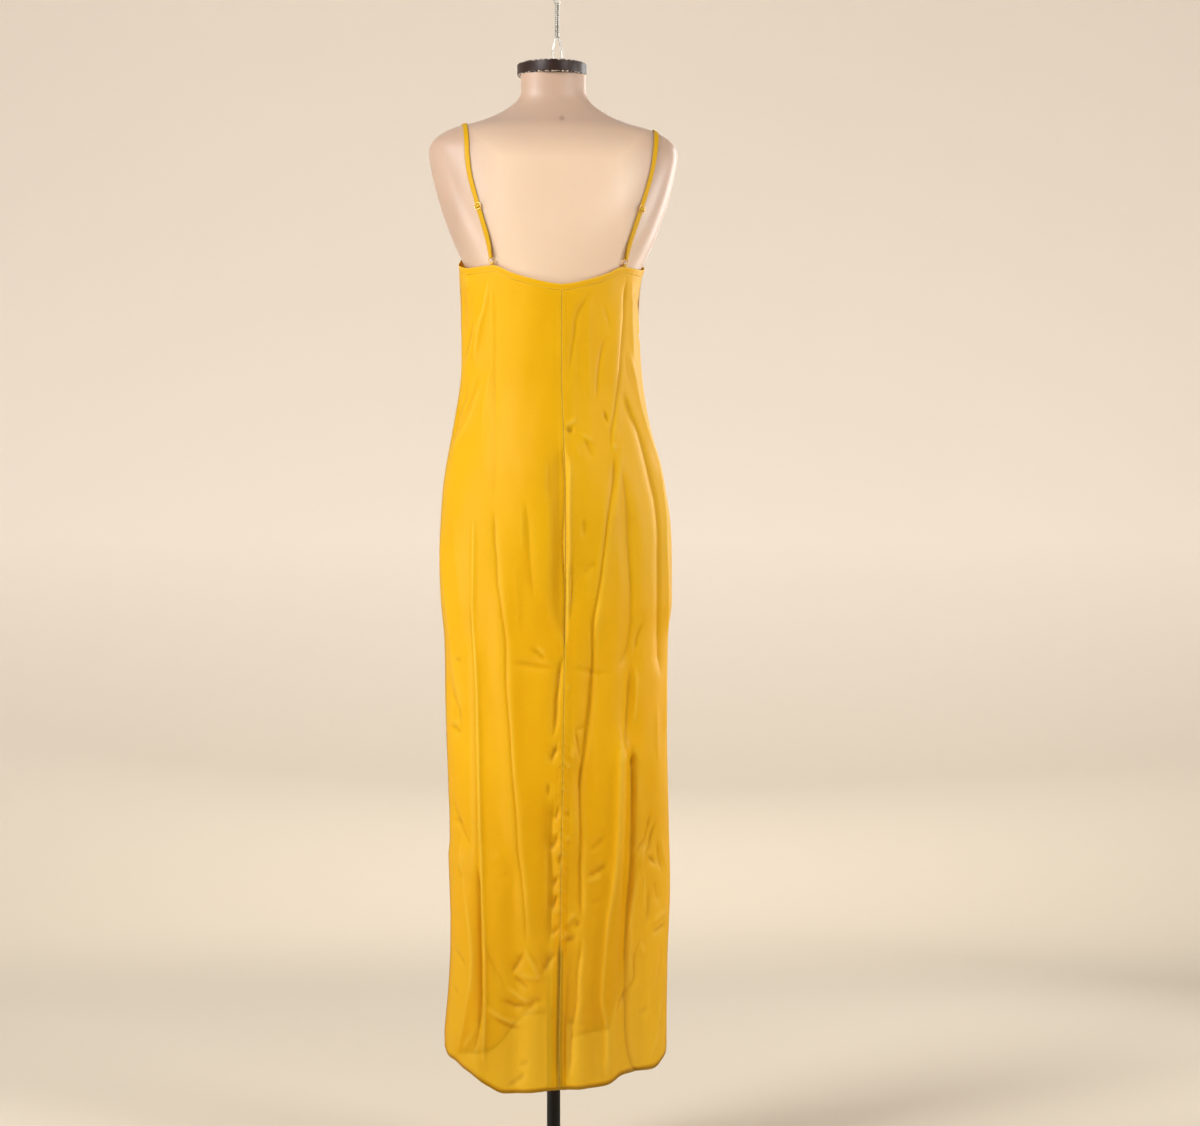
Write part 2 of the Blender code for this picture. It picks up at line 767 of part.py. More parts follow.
def add_outline(curve, half_width, half_height, middle, corner):
    """A rectangle with cut corners, as one closed line of a flat curve."""
    w, h, c = half_width, half_height, corner
    outline = [(w - c, -h), (w, c - h), (w, h - c), (w - c, h)]
    outline += [(c - w, h), (-w, h - c), (-w, c - h), (c - w, -h)]
    spline = curve.splines.new("POLY")
    spline.points.add(len(outline) - 1)
    for target, (x, y) in zip(spline.points, outline):
        target.co = (x * MM, (middle + y) * MM, 0, 1)
    spline.use_cyclic_u = True


def make_slider(name, route, material, parts):
    """The flat adjuster: a frame with a bar across its middle."""
    curve = bpy.data.curves.new(name, "CURVE")
    curve.dimensions = "2D"
    curve.fill_mode = "BOTH"
    curve.extrude = SLIDER_BAR / 2 * MM
    half_height = SLIDER_BAR_PITCH + SLIDER_BAR / 2
    slot_half_height = (SLIDER_BAR_PITCH - SLIDER_BAR) / 2
    slot_half_width = SLIDER_WIDTH / 2 - SLIDER_BAR + 0.1
    add_outline(curve, SLIDER_WIDTH / 2, half_height, 0, 1.2)
    for side in (-1, 1):
        middle = side * SLIDER_BAR_PITCH / 2
        add_outline(curve, slot_half_width, slot_half_height, middle, 0.4)
    slider = make_object(name, curve, material, parts)
    point, along, out, across = route.frame(SLIDER_UP)
    slider.matrix_world = local_frame(point + out * SLIDER_LIFT, across, along, out)
    return slider


# ---------------------------------------------------------------- the whole object
def build():
    for thing in list(bpy.data.objects):
        bpy.data.objects.remove(thing)
    parts = bpy.data.collections.new("slip_dress_on_form")
    bpy.context.scene.collection.children.link(parts)

    cloth = make_material("mustard_satin", (0.91, 0.45, 0.02), 0.5)
    plastic = make_material("form_plastic", (0.86, 0.62, 0.44), 0.35)
    cap_enamel = make_material("cap_enamel", (0.045, 0.03, 0.022), 0.3)
    steel = make_material("loop_steel", (0.6, 0.6, 0.58), 0.35, 1.0)
    gilt = make_material("gilt_metal", (0.83, 0.6, 0.28), 0.3, 1.0)
    black_steel = make_material("black_steel", (0.012, 0.01, 0.008), 0.45)

    form = make_form(plastic, parts)
    make_neck_cap(cap_enamel, parts)
    make_hanging_loop(steel, parts)
    make_stand(black_steel, parts)

    make_back_panel("back_left", -1, BACK_LEFT_HEM, cloth, parts)
    make_back_panel("back_right", 1, BACK_RIGHT_HEM, cloth, parts)
    make_front_panel("front", cloth, parts)
    make_band("back_band", False, 2 * BACK_COLUMNS, cloth, parts)
    make_band("front_band", True, FRONT_COLUMNS, cloth, parts)
    for side, word in ((-1, "left"), (1, "right")):
        route = strap_route(form, side)
        make_strap("strap_" + word, route, cloth, parts)
        make_strap_tab("strap_tab_" + word, route, cloth, parts)
        make_ring("ring_" + word, route, gilt, parts)
        make_slider("slider_" + word, route, gilt, parts)


build()
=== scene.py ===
# %% [markdown]
# # A bias-cut slip dress on its dress form
#
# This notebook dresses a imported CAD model. The model says where every piece is and how big it is,
# so each section below only gives a piece its finished shape, its folds and its finish. The
# dress's back faces -Y, the wearer's right is +X, and the ground is at zero height.

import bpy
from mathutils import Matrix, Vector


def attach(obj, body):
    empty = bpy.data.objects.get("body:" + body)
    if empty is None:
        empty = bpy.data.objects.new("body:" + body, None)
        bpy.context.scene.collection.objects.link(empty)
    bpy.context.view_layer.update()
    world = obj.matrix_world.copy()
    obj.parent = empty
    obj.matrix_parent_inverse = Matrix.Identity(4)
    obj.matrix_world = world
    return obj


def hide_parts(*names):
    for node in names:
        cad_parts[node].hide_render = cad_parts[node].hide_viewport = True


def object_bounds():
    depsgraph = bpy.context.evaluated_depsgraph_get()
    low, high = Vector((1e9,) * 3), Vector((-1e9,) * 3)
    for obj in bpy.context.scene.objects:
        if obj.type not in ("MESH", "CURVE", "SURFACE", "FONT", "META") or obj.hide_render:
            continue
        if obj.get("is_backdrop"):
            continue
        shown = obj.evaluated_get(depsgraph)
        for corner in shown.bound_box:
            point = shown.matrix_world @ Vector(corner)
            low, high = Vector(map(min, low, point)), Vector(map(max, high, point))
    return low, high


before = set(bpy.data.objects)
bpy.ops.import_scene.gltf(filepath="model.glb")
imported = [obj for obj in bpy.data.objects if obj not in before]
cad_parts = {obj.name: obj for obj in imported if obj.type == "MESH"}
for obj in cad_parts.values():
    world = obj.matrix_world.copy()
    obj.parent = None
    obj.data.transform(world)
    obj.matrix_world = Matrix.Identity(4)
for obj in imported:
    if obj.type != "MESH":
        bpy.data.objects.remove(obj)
cad_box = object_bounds()
print("CAD box:", [[round(v, 3) for v in corner] for corner in cad_box])

# %% Tools that every section uses
from collections import namedtuple
from math import cos, pi, radians, sin

import bmesh
import bpy
import numpy as np
from mathutils import Matrix, Vector
from mathutils.bvhtree import BVHTree

MM = 0.001
scene = bpy.context.scene


def link_piece(name, data, materials, replaced):
    """Puts a finished piece in the scene, on the model's one body."""
    piece = bpy.data.objects.new(name, data)
    scene.collection.objects.link(piece)
    for material in materials:
        data.materials.append(material)
    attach(piece, "root")
    if replaced:
        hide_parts(*replaced)
    return piece


def mesh_from(name, points, faces):
    """A smooth mesh from points in millimetres."""
    mesh = bpy.data.meshes.new(name)
    mesh.from_pydata((np.asarray(points) * MM).tolist(), [], faces)
    mesh.shade_smooth()
    return mesh


def grid_faces(rows, columns, closed=False):
    """The four-sided faces of a grid of points, row after row; closed joins the last column
    to the first."""
    faces = []
    for r in range(rows - 1):
        for k in range(columns if closed else columns - 1):
            after = (k + 1) % columns
            here, below = r * columns, (r + 1) * columns
            faces.append((here + k, below + k, below + after, here + after))
    return faces


# %% [markdown]
# ## Colours and nodes
#
# A colour is written as the hex value a picture editor shows, which is sRGB. Blender's shaders
# work in linear light, so one function turns the one into the other. One more function adds a
# node: its options are keyword arguments, and its sockets take either a number or another node.

# %% Colour and node helpers


def colour(hex_value):
    """An sRGB hex colour as the linear RGBA that a shader takes."""
    channels = [int(hex_value[i : i + 2], 16) / 255 for i in (1, 3, 5)]
    linear = [c / 12.92 if c <= 0.04045 else ((c + 0.055) / 1.055) ** 2.4 for c in channels]
    return (*linear, 1.0)


def find_socket(sockets, name):
    return next(s for s in sockets if s.enabled and name in (s.identifier, s.name))


def add_node(material, kind, sockets=None, **options):
    """Adds a node of a kind, named as Blender does after ShaderNode. A socket's value is a number,
    a colour, a node (its first output is taken) or one output socket of a node."""
    tree = material.node_tree
    made = tree.nodes.new("ShaderNode" + kind)
    for option, value in options.items():
        setattr(made, option, value)
    for name, value in (sockets or {}).items():
        socket = find_socket(made.inputs, name)
        if isinstance(value, bpy.types.Node):
            value = next(s for s in value.outputs if s.enabled)
        if isinstance(value, bpy.types.NodeSocket):
            tree.links.new(value, socket)
        else:
            socket.default_value = value
    return made


def new_material(name):
    """A material with no nodes in it yet."""
    material = bpy.data.materials.new(name)
    material.use_nodes = True
    material.node_tree.nodes.clear()
    return material


def finish_material(material, shader):
    add_node(material, "OutputMaterial", {"Surface": shader})
    return material


def blend_colours(material, factor, low, high):
    """A colour between two, each a hex colour or a node, by a factor that varies."""
    first, second = (colour(c) if isinstance(c, str) else c for c in (low, high))
    sockets = {"Factor_Float": factor, "A_Color": first, "B_Color": second}
    return add_node(material, "Mix", sockets, data_type="RGBA")


def noise(material, at, scale, detail=2.0, roughness=0.5):
    """A cloudy pattern with so many blotches a metre."""
    sockets = {"Vector": at, "Scale": scale, "Detail": detail, "Roughness": roughness}
    return add_node(material, "TexNoise", sockets)


def bump(material, height, strength, distance, **more):
    """Relief that follows a pattern, up to a distance in metres."""
    sockets = {"Height": height, "Strength": strength, "Distance": distance} | more
    return add_node(material, "Bump", sockets)


def combine(material, operation, first, second):
    """Two values joined by one operation, such as MULTIPLY or MAXIMUM."""
    sockets = {"Value": first, "Value_001": second}
    return add_node(material, "Math", sockets, operation=operation)


def spread(material, value, low, high, to_low, to_high):
    """Stretches a pattern's values from low..high to to_low..to_high."""
    sockets = {"Value": value, "From Min": low, "From Max": high}
    sockets |= {"To Min": to_low, "To Max": to_high}
    return add_node(material, "MapRange", sockets)


# %% [markdown]
# ## Mustard satin
#
# Satin is woven so that long floats of yarn lie side by side on its face, which gives the face a
# soft gloss, while its reverse is dull and slightly crinkled like crepe. The slip is cut on the
# bias, so the yarns run at 45 degrees. The cloth is thin enough for light to come through: where
# the skirt hangs clear of the form it glows, and where a single layer hangs it looks paler.
# A Principled shader gives the face its colour and sheen. A Translucent shader mixed into it
# lets light through scattered, and a little Transparent lets it straight through between the
# yarns, so that the edges of the layer behind can be told. Both grow towards the hem, where the
# skirt hangs clear of the form.

# %% Cloth materials
YARN_PITCH = 0.9 * MM  # real satin has about 0.2 mm; drawn coarser so that it shows at all
CREPE_GRAIN = 1.6 * MM


def woven(material, twill_depth, grain_depth):
    """The relief of the weave: fine diagonal ribs, and a grain like pebbled crepe."""
    cloth_map = add_node(material, "UVMap", uv_map="cloth")
    bias = {"Vector": cloth_map, "Rotation": (0, 0, radians(45))}
    turned = add_node(material, "Mapping", bias)
    # Blender's wave repeats every 0.314 of its scaled coordinate.
    ribs = {"Vector": turned, "Scale": 0.314 / YARN_PITCH, "Distortion": 1.2, "Detail": 1.0}
    ribs |= {"Detail Scale": 0.6}
    twill = add_node(material, "TexWave", ribs, wave_type="BANDS")
    grain = noise(material, cloth_map, 1 / CREPE_GRAIN, 3.0, 0.65)
    first = bump(material, twill, 0.35, twill_depth)
    relief = bump(material, grain, 0.6, grain_depth, Normal=first)
    return cloth_map, grain, relief


def make_satin(name, dark, light, glow, tint, let_through, clear, roughness, sheen, grain_depth):
    """let_through is the scattered share at the hem and at the hips, clear the straight one."""
    material = new_material(name)
    cloth_map, grain, relief = woven(material, 0.05 * MM, grain_depth)
    # Dye takes a little unevenly over a hand's breadth, and yarn to yarn.
    cloud = noise(material, cloth_map, 9.0)
    uneven = spread(material, cloud, 0.3, 0.7, 0.25, 0.75)
    base = blend_colours(material, uneven, dark, light)
    # Pointiness finds the bottoms of sharp creases and the ridges beside them. On the ridges a pale
    # yellow is blended into the colour as a painted highlight.
    pointed = add_node(material, "NewGeometry").outputs["Pointiness"]
    painted_ridge_highlight = spread(material, pointed, 0.502, 0.54, 0.0, 0.45)
    base = blend_colours(material, painted_ridge_highlight, base, "#FFE25A")
    flecks = spread(material, grain, 0.3, 0.7, 0.9, 1.06)
    # The bottoms of sharp creases are darkened as painted shade.
    painted_crease_shade = spread(material, pointed, 0.445, 0.498, 0.52, 1.0)
    # The layers attribute is high at turned edges, seams and straps: there the colour gets painted
    # shade, and further down less light passes through.
    layers = add_node(material, "Attribute", attribute_name="layers").outputs["Fac"]
    turned = spread(material, layers, 0.0, 1.0, 1.0, 0.2)
    # The painted shade of creases and turned edges darkens the colour towards brown, not grey.
    kept = combine(material, "MULTIPLY", painted_crease_shade, turned)
    painted_shade_share = spread(material, kept, 0.0, 1.0, 1.0, 0.0)
    base = blend_colours(material, painted_shade_share, base, "#6A3A06")
    tinted = {"Factor_Float": 1.0, "A_Color": base, "B_Color": flecks}
    flecked = add_node(
        material, "Mix", tinted, data_type="RGBA", blend_type="MULTIPLY"
    )
    gloss = spread(material, grain, 0.3, 0.7, roughness - 0.05, roughness + 0.07)
    face = add_node(
        material,
        "BsdfPrincipled",
        {
            "Base Color": flecked,
            "Roughness": gloss,
            "IOR": 1.5,
            "Specular IOR Level": 0.3,
            "Specular Tint": colour("#FFF2CC"),
            "Sheen Weight": sheen,
            "Sheen Roughness": 0.25,
            "Sheen Tint": colour("#FFF2B8"),
            "Normal": relief,
        },
    )
    through = add_node(
        material, "BsdfTranslucent", {"Color": colour(glow), "Normal": relief}
    )
    at = add_node(material, "TexCoord").outputs["Object"]
    height = add_node(material, "SeparateXYZ", {"Vector": at}).outputs["Z"]
    passing = spread(material, height, 0.15, 0.9, let_through[0], let_through[1])
    single = spread(material, layers, 0.0, 1.0, 1.0, 0.1)
    passing = combine(material, "MULTIPLY", passing, single)
    shaders = {"Fac": passing, "Shader": face, "Shader_001": through}
    cloth = add_node(material, "MixShader", shaders)
    between = add_node(material, "BsdfTransparent", {"Color": colour(tint)})
    between_yarns = spread(material, height, 0.22, 0.65, clear, 0.02)
    open_share = combine(material, "MULTIPLY", between_yarns, single)
    shaders = {"Fac": open_share, "Shader": cloth, "Shader_001": between}
    return finish_material(material, add_node(material, "MixShader", shaders))


satin_face = make_satin(
    "polyester satin, face", "#F2BB04", "#FAC80A", "#F4D04C", "#DCAC3C",
    (0.42, 0.36), 0.36, 0.44, 0.06, 0.12 * MM,
)
satin_reverse = make_satin(
    "polyester satin, crepe reverse", "#E4A60A", "#EEB414", "#FFFBEA", "#FFFFFF",
    (0.8, 0.7), 0.75, 0.62, 0.2, 0.3 * MM,
)


# Spun thread is duller than the cloth it is dyed to match, so a row of stitches shows as a line.
def make_thread():
    material = new_material("polyester sewing thread")
    ply = add_node(material, "TexNoise", {"Scale": 1 / (0.8 * MM), "Detail": 1.0})
    dyed = blend_colours(material, ply, "#C08410", "#E6A820")
    shader = {"Base Color": dyed, "Roughness": 0.5, "IOR": 1.5}
    return finish_material(material, add_node(material, "BsdfPrincipled", shader))


sewing_thread = make_thread()
print("cloth materials:", satin_face.name, "/", satin_reverse.name, "/", sewing_thread.name)

# %% [markdown]
# ## The form's plastic and the hard pieces' finishes
#
# The form is moulded in skin-coloured plastic: smooth, half matt, with light sinking a little way
# into it, which softens its shadows. Its neck is closed by a wooden cap in dark brown enamel
# that has chipped along its rims. The wire is bright steel, the strap fittings are gilt, and the
# stand is powder coated, which leaves a fine orange-peel texture.

# %% Hard materials


def make_form_plastic():
    material = new_material("moulded PVC, flesh pink")
    place = add_node(material, "TexCoord")
    at = place.outputs["Object"]
    cloud = noise(material, at, 5.0, 3.0)
    skin = blend_colours(material, cloud, "#D6BBA0", "#E2C8AC")
    # The neck and the points of the shoulders get painted shade: the colour darkens towards them.
    axes = add_node(material, "SeparateXYZ", {"Vector": at})
    aside = add_node(material, "Math", {"Value": axes.outputs["X"]}, operation="ABSOLUTE")
    outer = spread(material, aside, 0.09, 0.15, 0.0, 1.0)
    upper = spread(material, axes.outputs["Z"], 1.52, 1.58, 0.0, 1.0)
    painted_shade_neck_and_shoulders = combine(material, "MAXIMUM", outer, upper)
    skin = blend_colours(material, painted_shade_neck_and_shoulders, skin, "#B89C88")
    # A small grey spot painted into the dimple at the nape, behind only, as painted shade.
    flat = add_node(material, "Mapping", {"Vector": at, "Scale": (1, 0, 1)})
    ends = {"Vector": flat, "Vector_001": (6.5 * MM, 0, 1.581)}
    away = add_node(material, "VectorMath", ends, operation="DISTANCE").outputs["Value"]
    painted_dimple_shade = spread(material, away, 2.0 * MM, 5.5 * MM, 0.45, 0.0)
    behind = spread(material, axes.outputs["Y"], -0.02, 0.0, 1.0, 0.0)
    mark = combine(material, "MULTIPLY", painted_dimple_shade, behind)
    skin = blend_colours(material, mark, skin, "#80665C")
    pits = noise(material, at, 1 / (3 * MM), 2.0)
    gloss = spread(material, cloud, 0.3, 0.7, 0.36, 0.46)
    relief = bump(material, pits, 0.12, 0.2 * MM)
    shader = {
        "Base Color": skin,
        "Roughness": gloss,
        "IOR": 1.53,
        "Subsurface Weight": 0.25,
        "Subsurface Radius": (1.0, 0.45, 0.3),
        "Subsurface Scale": 6 * MM,
        "Normal": relief,
    }
    return finish_material(material, add_node(material, "BsdfPrincipled", shader))


def make_cap_enamel():
    material = new_material("chipped enamel, dark brown")
    place = add_node(material, "TexCoord")
    at = place.outputs["Object"]
    drip = noise(material, at, 1 / (14 * MM), 2.0)
    paint = blend_colours(material, drip, "#170A07", "#301811")
    flake = noise(material, at, 1 / (5 * MM), 4.0, 0.7)
    # Paint chips at the cap's two rims. The mask goes by height alone, so it takes in the flat
    # top and underside as well, which come out chipped all over.
    level = add_node(material, "SeparateXYZ", {"Vector": place.outputs["Generated"]})
    from_middle = combine(material, "SUBTRACT", level.outputs["Z"], 0.5)
    off = add_node(material, "Math", {"Value": from_middle}, operation="ABSOLUTE")
    rim = spread(material, off, 0.3, 0.42, 0.0, 0.35)
    worn = combine(material, "ADD", flake, rim)
    chip = spread(material, worn, 0.86, 0.89, 0.0, 1.0)
    surface = blend_colours(material, chip, paint, "#D8CDBE")
    gloss = spread(material, chip, 0.0, 1.0, 0.4, 0.7)
    relief = bump(material, drip, 0.3, 0.4 * MM)
    shader = {"Base Color": surface, "Roughness": gloss, "IOR": 1.5, "Normal": relief}
    shader["Specular IOR Level"] = 0.35
    return finish_material(material, add_node(material, "BsdfPrincipled", shader))


def make_metal(name, dark, light, roughness, scratch_size):
    """A metal keeps the default IOR: its colour says how it reflects."""
    material = new_material(name)
    at = add_node(material, "TexCoord").outputs["Object"]
    mark = noise(material, at, 1 / scratch_size, 3.0, 0.7)
    tone = blend_colours(material, mark, dark, light)
    gloss = spread(material, mark, 0.3, 0.7, roughness - 0.07, roughness + 0.08)
    relief = bump(material, mark, 0.15, 0.05 * MM)
    shader = {"Base Color": tone, "Metallic": 1.0, "Roughness": gloss, "Normal": relief}
    return finish_material(material, add_node(material, "BsdfPrincipled", shader))


def make_powder_coat():
    material = new_material("powder-coated steel, black")
    at = add_node(material, "TexCoord").outputs["Object"]
    peels = noise(material, at, 1 / (1.5 * MM), 2.0)
    dust = noise(material, at, 12.0, 5.0)
    dusty = spread(material, dust, 0.4, 0.8, 0.0, 1.0)
    black = blend_colours(material, dusty, "#060504", "#121010")
    gloss = spread(material, dust, 0.3, 0.7, 0.45, 0.6)
    relief = bump(material, peels, 0.25, 0.08 * MM)
    shader = {"Base Color": black, "Roughness": gloss, "IOR": 1.5, "Normal": relief}
    shader["Specular IOR Level"] = 0.3
    return finish_material(material, add_node(material, "BsdfPrincipled", shader))


form_plastic = make_form_plastic()
cap_enamel = make_cap_enamel()
bright_wire = make_metal("galvanised steel wire", "#8E8C86", "#CCCAC4", 0.28, 2.5 * MM)
gilt = make_metal("gilt zinc alloy", "#C9974A", "#EBC67C", 0.26, 1.2 * MM)
black_steel = make_powder_coat()
for made in (form_plastic, cap_enamel, bright_wire, gilt, black_steel):
    print("hard material:", made.name)

# %% [markdown]
# ## The dress's sizes
#
# The cloth follows the same level-by-level table as the CAD: how far the side seams lie from the
# middle, how deep the dress is behind and in front, and where the centre-back seam runs. All of
# it is in millimetres. A smooth curve through each column of the table gives every height
# between, and the long soft folds are added on top.

# %% Tables of the dress


def table_of(kind, *rows):
    return [kind(*row) for row in rows]


Level = namedtuple("Level", "height left right back front seam")
DRESS = table_of(
    Level,
    (1455, 174, 174, 102, 98, 0),
    (1395, 152, 152, 100, 108, 0),
    (1364, 141, 138, 99, 115, 0),
    (1340, 139, 131, 98, 124, 0),
    (1300, 137, 127, 97, 127, 0),
    (1240, 137, 130, 96, 124, 0),
    (1195, 138, 134, 96, 119, 0),
    (1135, 147, 144, 102, 116, 1),
    (1045, 163, 166, 117, 117, 2.5),
    (985, 168, 176, 122, 117, 2.5),
    (925, 170, 178, 123, 116, 2.5),
    (865, 168, 178, 121, 114, 2.5),
    (805, 162, 171, 118, 112, 2),
    (715, 161, 171, 115, 110, 1),
    (565, 157, 173, 112, 108, -1),
    (430, 154, 175, 110, 107, -3),
    (325, 155, 171, 109, 106, -4),
    (215, 163, 169, 108, 105, -5),
    (135, 165, 168, 108, 105, -5),
)
# An edge's height at each share of the way round from the middle of the panel to the side seam.
Edge = namedtuple("Edge", "share height")
BACK_PEAK = 1 / 2
BACK_TOP_PEAK = 1359
BACK_TOP = table_of(
    Edge,
    (0, 1330), (0.1, 1333), (0.2, 1338), (0.35, 1347.5), (BACK_PEAK, BACK_TOP_PEAK), (0.76, 1357.5),
    (1, 1364),
)
FRONT_PEAK = 5 / 13
FRONT_TOP_PEAK = 1447
FRONT_TOP = table_of(
    Edge,
    (0, 1352), (FRONT_PEAK, FRONT_TOP_PEAK), (0.55, 1404), (0.76, 1377), (1, 1364),
)
BACK_LEFT_HEM = table_of(
    Edge,
    (0, 147), (0.15, 143), (0.33, 141), (0.44, 151), (0.53, 164), (0.65, 174), (0.75, 184),
    (0.87, 189), (1, 201),
)
BACK_RIGHT_HEM = table_of(
    Edge,
    (0, 147), (0.15, 148), (0.25, 151), (0.36, 163), (0.5, 167), (0.66, 169), (0.77, 180),
    (0.87, 187), (1, 201),
)
FRONT_LEFT_HEM = table_of(
    Edge,
    (0, 229), (0.15, 225), (0.32, 180), (0.6, 178), (0.85, 188), (1, 206),
)
FRONT_RIGHT_HEM = table_of(
    Edge,
    (0, 229), (0.12, 217), (0.41, 208), (0.85, 204), (1, 214),
)

# A long soft fold: it runs from (x_top, top) to (x_foot, foot), and stands out where lift is
# above zero and sinks in where it is below.
Fold = namedtuple("Fold", "top x_top foot x_foot width lift")
BACK_FOLDS = table_of(
    Fold,
    (1345, 95, 1053, 72, 10, 3),
    (1060, 72, 780, 44, 13, 4),
    (800, 46, 150, 4, 13, -4.5),
    (1042, 104, 646, 96, 14, -3.5),
    (690, 90, 60, 66, 13, 6),
    (820, 112, 380, 100, 13, -4),
    (1118, -8, 803, -8, 10, -4),
    (924, -93, 360, -55, 15, 4),
    (836, -127, 60, -118, 12, 5),
    (1345, -104, 1200, -126, 10, 2.5),
    (600, 26, 60, 24, 13, 5),
    (600, -20, 60, -24, 14, -4),
    (520, -72, 60, -70, 14, -5),
    (640, 134, 60, 128, 14, -4),
)
FRONT_FOLDS = table_of(
    Fold,
    (1290, 70, 300, 92, 20, 5),
    (1290, -70, 300, -92, 20, 5),
    (1150, 30, 60, 46, 18, -5),
    (1150, -34, 60, -50, 18, -5),
    (900, 0, 60, 4, 17, 6),
    (700, 128, 60, 126, 15, -5),
    (700, -128, 60, -126, 15, -5),
)
# Below the slits the front's edges have turned under by this much at each height, so the back's
# edges hang in a single layer, and the front is double beside its folds.
Tuck = namedtuple("Tuck", "height left right")
FRONT_TUCKS = table_of(
    Tuck,
    (1455, 0, 0),
    (690, 0, 0),
    (564, 3, 1),
    (519, 7, 4),
    (474, 13, 22),
    (434, 18, 36),
    (374, 27, 44),
    (305, 34, 50),
    (270, 32, 57),
    (234, 26, 66),
    (182, 18, 72),
    (135, 16, 72),
)
TUCK_RADIUS, TUCK_DEPTH = 1.6, 7.0
FOLD_FADE = 70.0
BAND_DEPTH = 9.0
SIDE_SEAM_Y = 4.0
SLIT_TOP = 670.0
SLIT_OPENING = 26.0
BUST_X = 70.0
BUST_HEIGHT = 1312.0
BUST_SPREAD = 44.0
DRESS_BUST = 13.0
print(f"dress: {len(DRESS)} levels, {len(BACK_FOLDS)} back folds, {len(FRONT_FOLDS)} front folds")

# %% A smooth curve through a table


def smooth_at(places, positions, values):
    """A smooth curve through the table, level where a table turns back on itself."""
    xs = np.asarray(positions, float)
    ys = np.asarray(values, float)
    if xs[0] > xs[-1]:
        xs, ys = xs[::-1], ys[::-1]
    places = np.clip(places, xs[0], xs[-1])
    chords = np.diff(ys) / np.diff(xs)
    slopes = np.empty_like(ys)
    slopes[0], slopes[-1] = chords[0], chords[-1]
    same_way = chords[:-1] * chords[1:] > 0
    slopes[1:-1] = np.where(same_way, 0.5 * (chords[:-1] + chords[1:]), 0)
    i = np.minimum(np.searchsorted(xs, places, side="right") - 1, len(xs) - 2)
    step = xs[i + 1] - xs[i]
    t = (places - xs[i]) / step
    rest = 1 - t
    value = ys[i] * (1 + 2 * t) * rest**2 + ys[i + 1] * t**2 * (3 - 2 * t)
    return value + step * (slopes[i] * t * rest**2 - slopes[i + 1] * t**2 * rest)


def from_table(table, key, name, places):
    rows = np.array(table, float)
    names = table[0]._fields
    return smooth_at(places, rows[:, names.index(key)], rows[:, names.index(name)])


def fade(distance, length):
    """0 at an end, 1 once it is length away from it, and smooth between."""
    t = np.clip(np.asarray(distance) / length, 0, 1)
    return t * t * (3 - 2 * t)


# %% Ways along a line, and the cloth's map


def run_along(line):
    """The distance from a line's start to each of its points."""
    steps = np.linalg.norm(np.diff(line, axis=0), axis=1)
    return np.concatenate([[0], np.cumsum(steps)])


def points_at(marks, run, line):
    return np.stack([np.interp(marks, run, line[:, i]) for i in range(3)], axis=-1)


def lay_map(mesh, across, down):
    """The map of the flat cloth, in millimetres across and down, that the weave follows."""
    flat = np.stack(np.broadcast_arrays(across, down), axis=-1).reshape(-1, 2)
    corners = np.empty(len(mesh.loops), int)
    mesh.loops.foreach_get("vertex_index", corners)
    uv = (flat[corners] * MM).ravel()
    mesh.uv_layers.new(name="cloth").data.foreach_set("uv", uv)


def shade_layers(mesh, values):
    mesh.attributes.new("layers", "FLOAT", "POINT").data.foreach_set("value", values.ravel())


def face_outwards(mesh):
    bm = bmesh.new()
    bm.from_mesh(mesh)
    bmesh.ops.recalc_face_normals(bm, faces=bm.faces)
    bm.to_mesh(mesh)
    bm.free()


# %% The dress's surface


def fold_lift(folds, x, height):
    total = np.zeros_like(x)
    for fold in folds:
        t = (fold.top - height) / (fold.top - fold.foot)
        middle = fold.x_top + (fold.x_foot - fold.x_top) * t
        near_end = fade(fold.top - height, FOLD_FADE) * fade(height - fold.foot, FOLD_FADE)
        total += fold.lift * near_end * np.exp(-(((x - middle) / fold.width) ** 2))
    return total


def bust_lift(x, height, lift):
    across = (np.abs(x) - BUST_X) / BUST_SPREAD
    along = (height - BUST_HEIGHT) / BUST_SPREAD
    return lift * np.exp(-(across**2) - along**2)


def past_tuck(share, height):
    """Where the front turns under, and how far beyond that fold each point of it would lie."""
    tuck = from_table(FRONT_TUCKS, "height", "left", height)
    right_tuck = from_table(FRONT_TUCKS, "height", "right", height)
    left, right = (from_table(DRESS, "height", name, height) for name in ("left", "right"))
    tuck = np.where(share < 0, tuck, right_tuck)
    reach = np.where(share < 0, left, right)
    fold = reach - tuck
    beyond = reach * np.sin(np.abs(share) * pi / 2) - fold
    return fold, beyond, np.minimum(tuck / 4, 1)


def dress_points(share, height, front):
    """Points of the cloth. A share below zero is on the left, and 1 is the side seam."""
    side = np.where(share < 0, -1.0, 1.0)
    turn = np.abs(share) * pi / 2
    seam = 0 if front else from_table(DRESS, "height", "seam", height)
    left = from_table(DRESS, "height", "left", height)
    right = from_table(DRESS, "height", "right", height)
    depth = from_table(DRESS, "height", "front" if front else "back", height)
    reach = np.where(share < 0, left, right)
    x = seam + (side * reach - seam) * np.sin(turn)
    outward = 1 if front else -1
    y = SIDE_SEAM_Y + (outward * depth - SIDE_SEAM_Y) * np.cos(turn)
    opening = SLIT_OPENING * fade(SLIT_TOP - height, SLIT_TOP - 150)
    y += outward * 0.5 * opening * np.sin(turn) ** 4
    lift = fold_lift(FRONT_FOLDS if front else BACK_FOLDS, x, height)
    if front:
        lift += bust_lift(x, height, DRESS_BUST)
    x, y = x + side * lift * np.sin(turn), y + outward * lift * np.cos(turn)
    if front:
        fold, beyond, tucked = past_tuck(share, height)
        rounded = np.sqrt(beyond**2 + (TUCK_RADIUS * tucked) ** 2 + 1e-12)
        x = np.where(tucked > 0, x - side * (rounded + beyond), x)
        y -= TUCK_DEPTH * tucked * 0.5 * (1 + beyond / rounded)
    return np.stack([x, y, height], axis=-1)


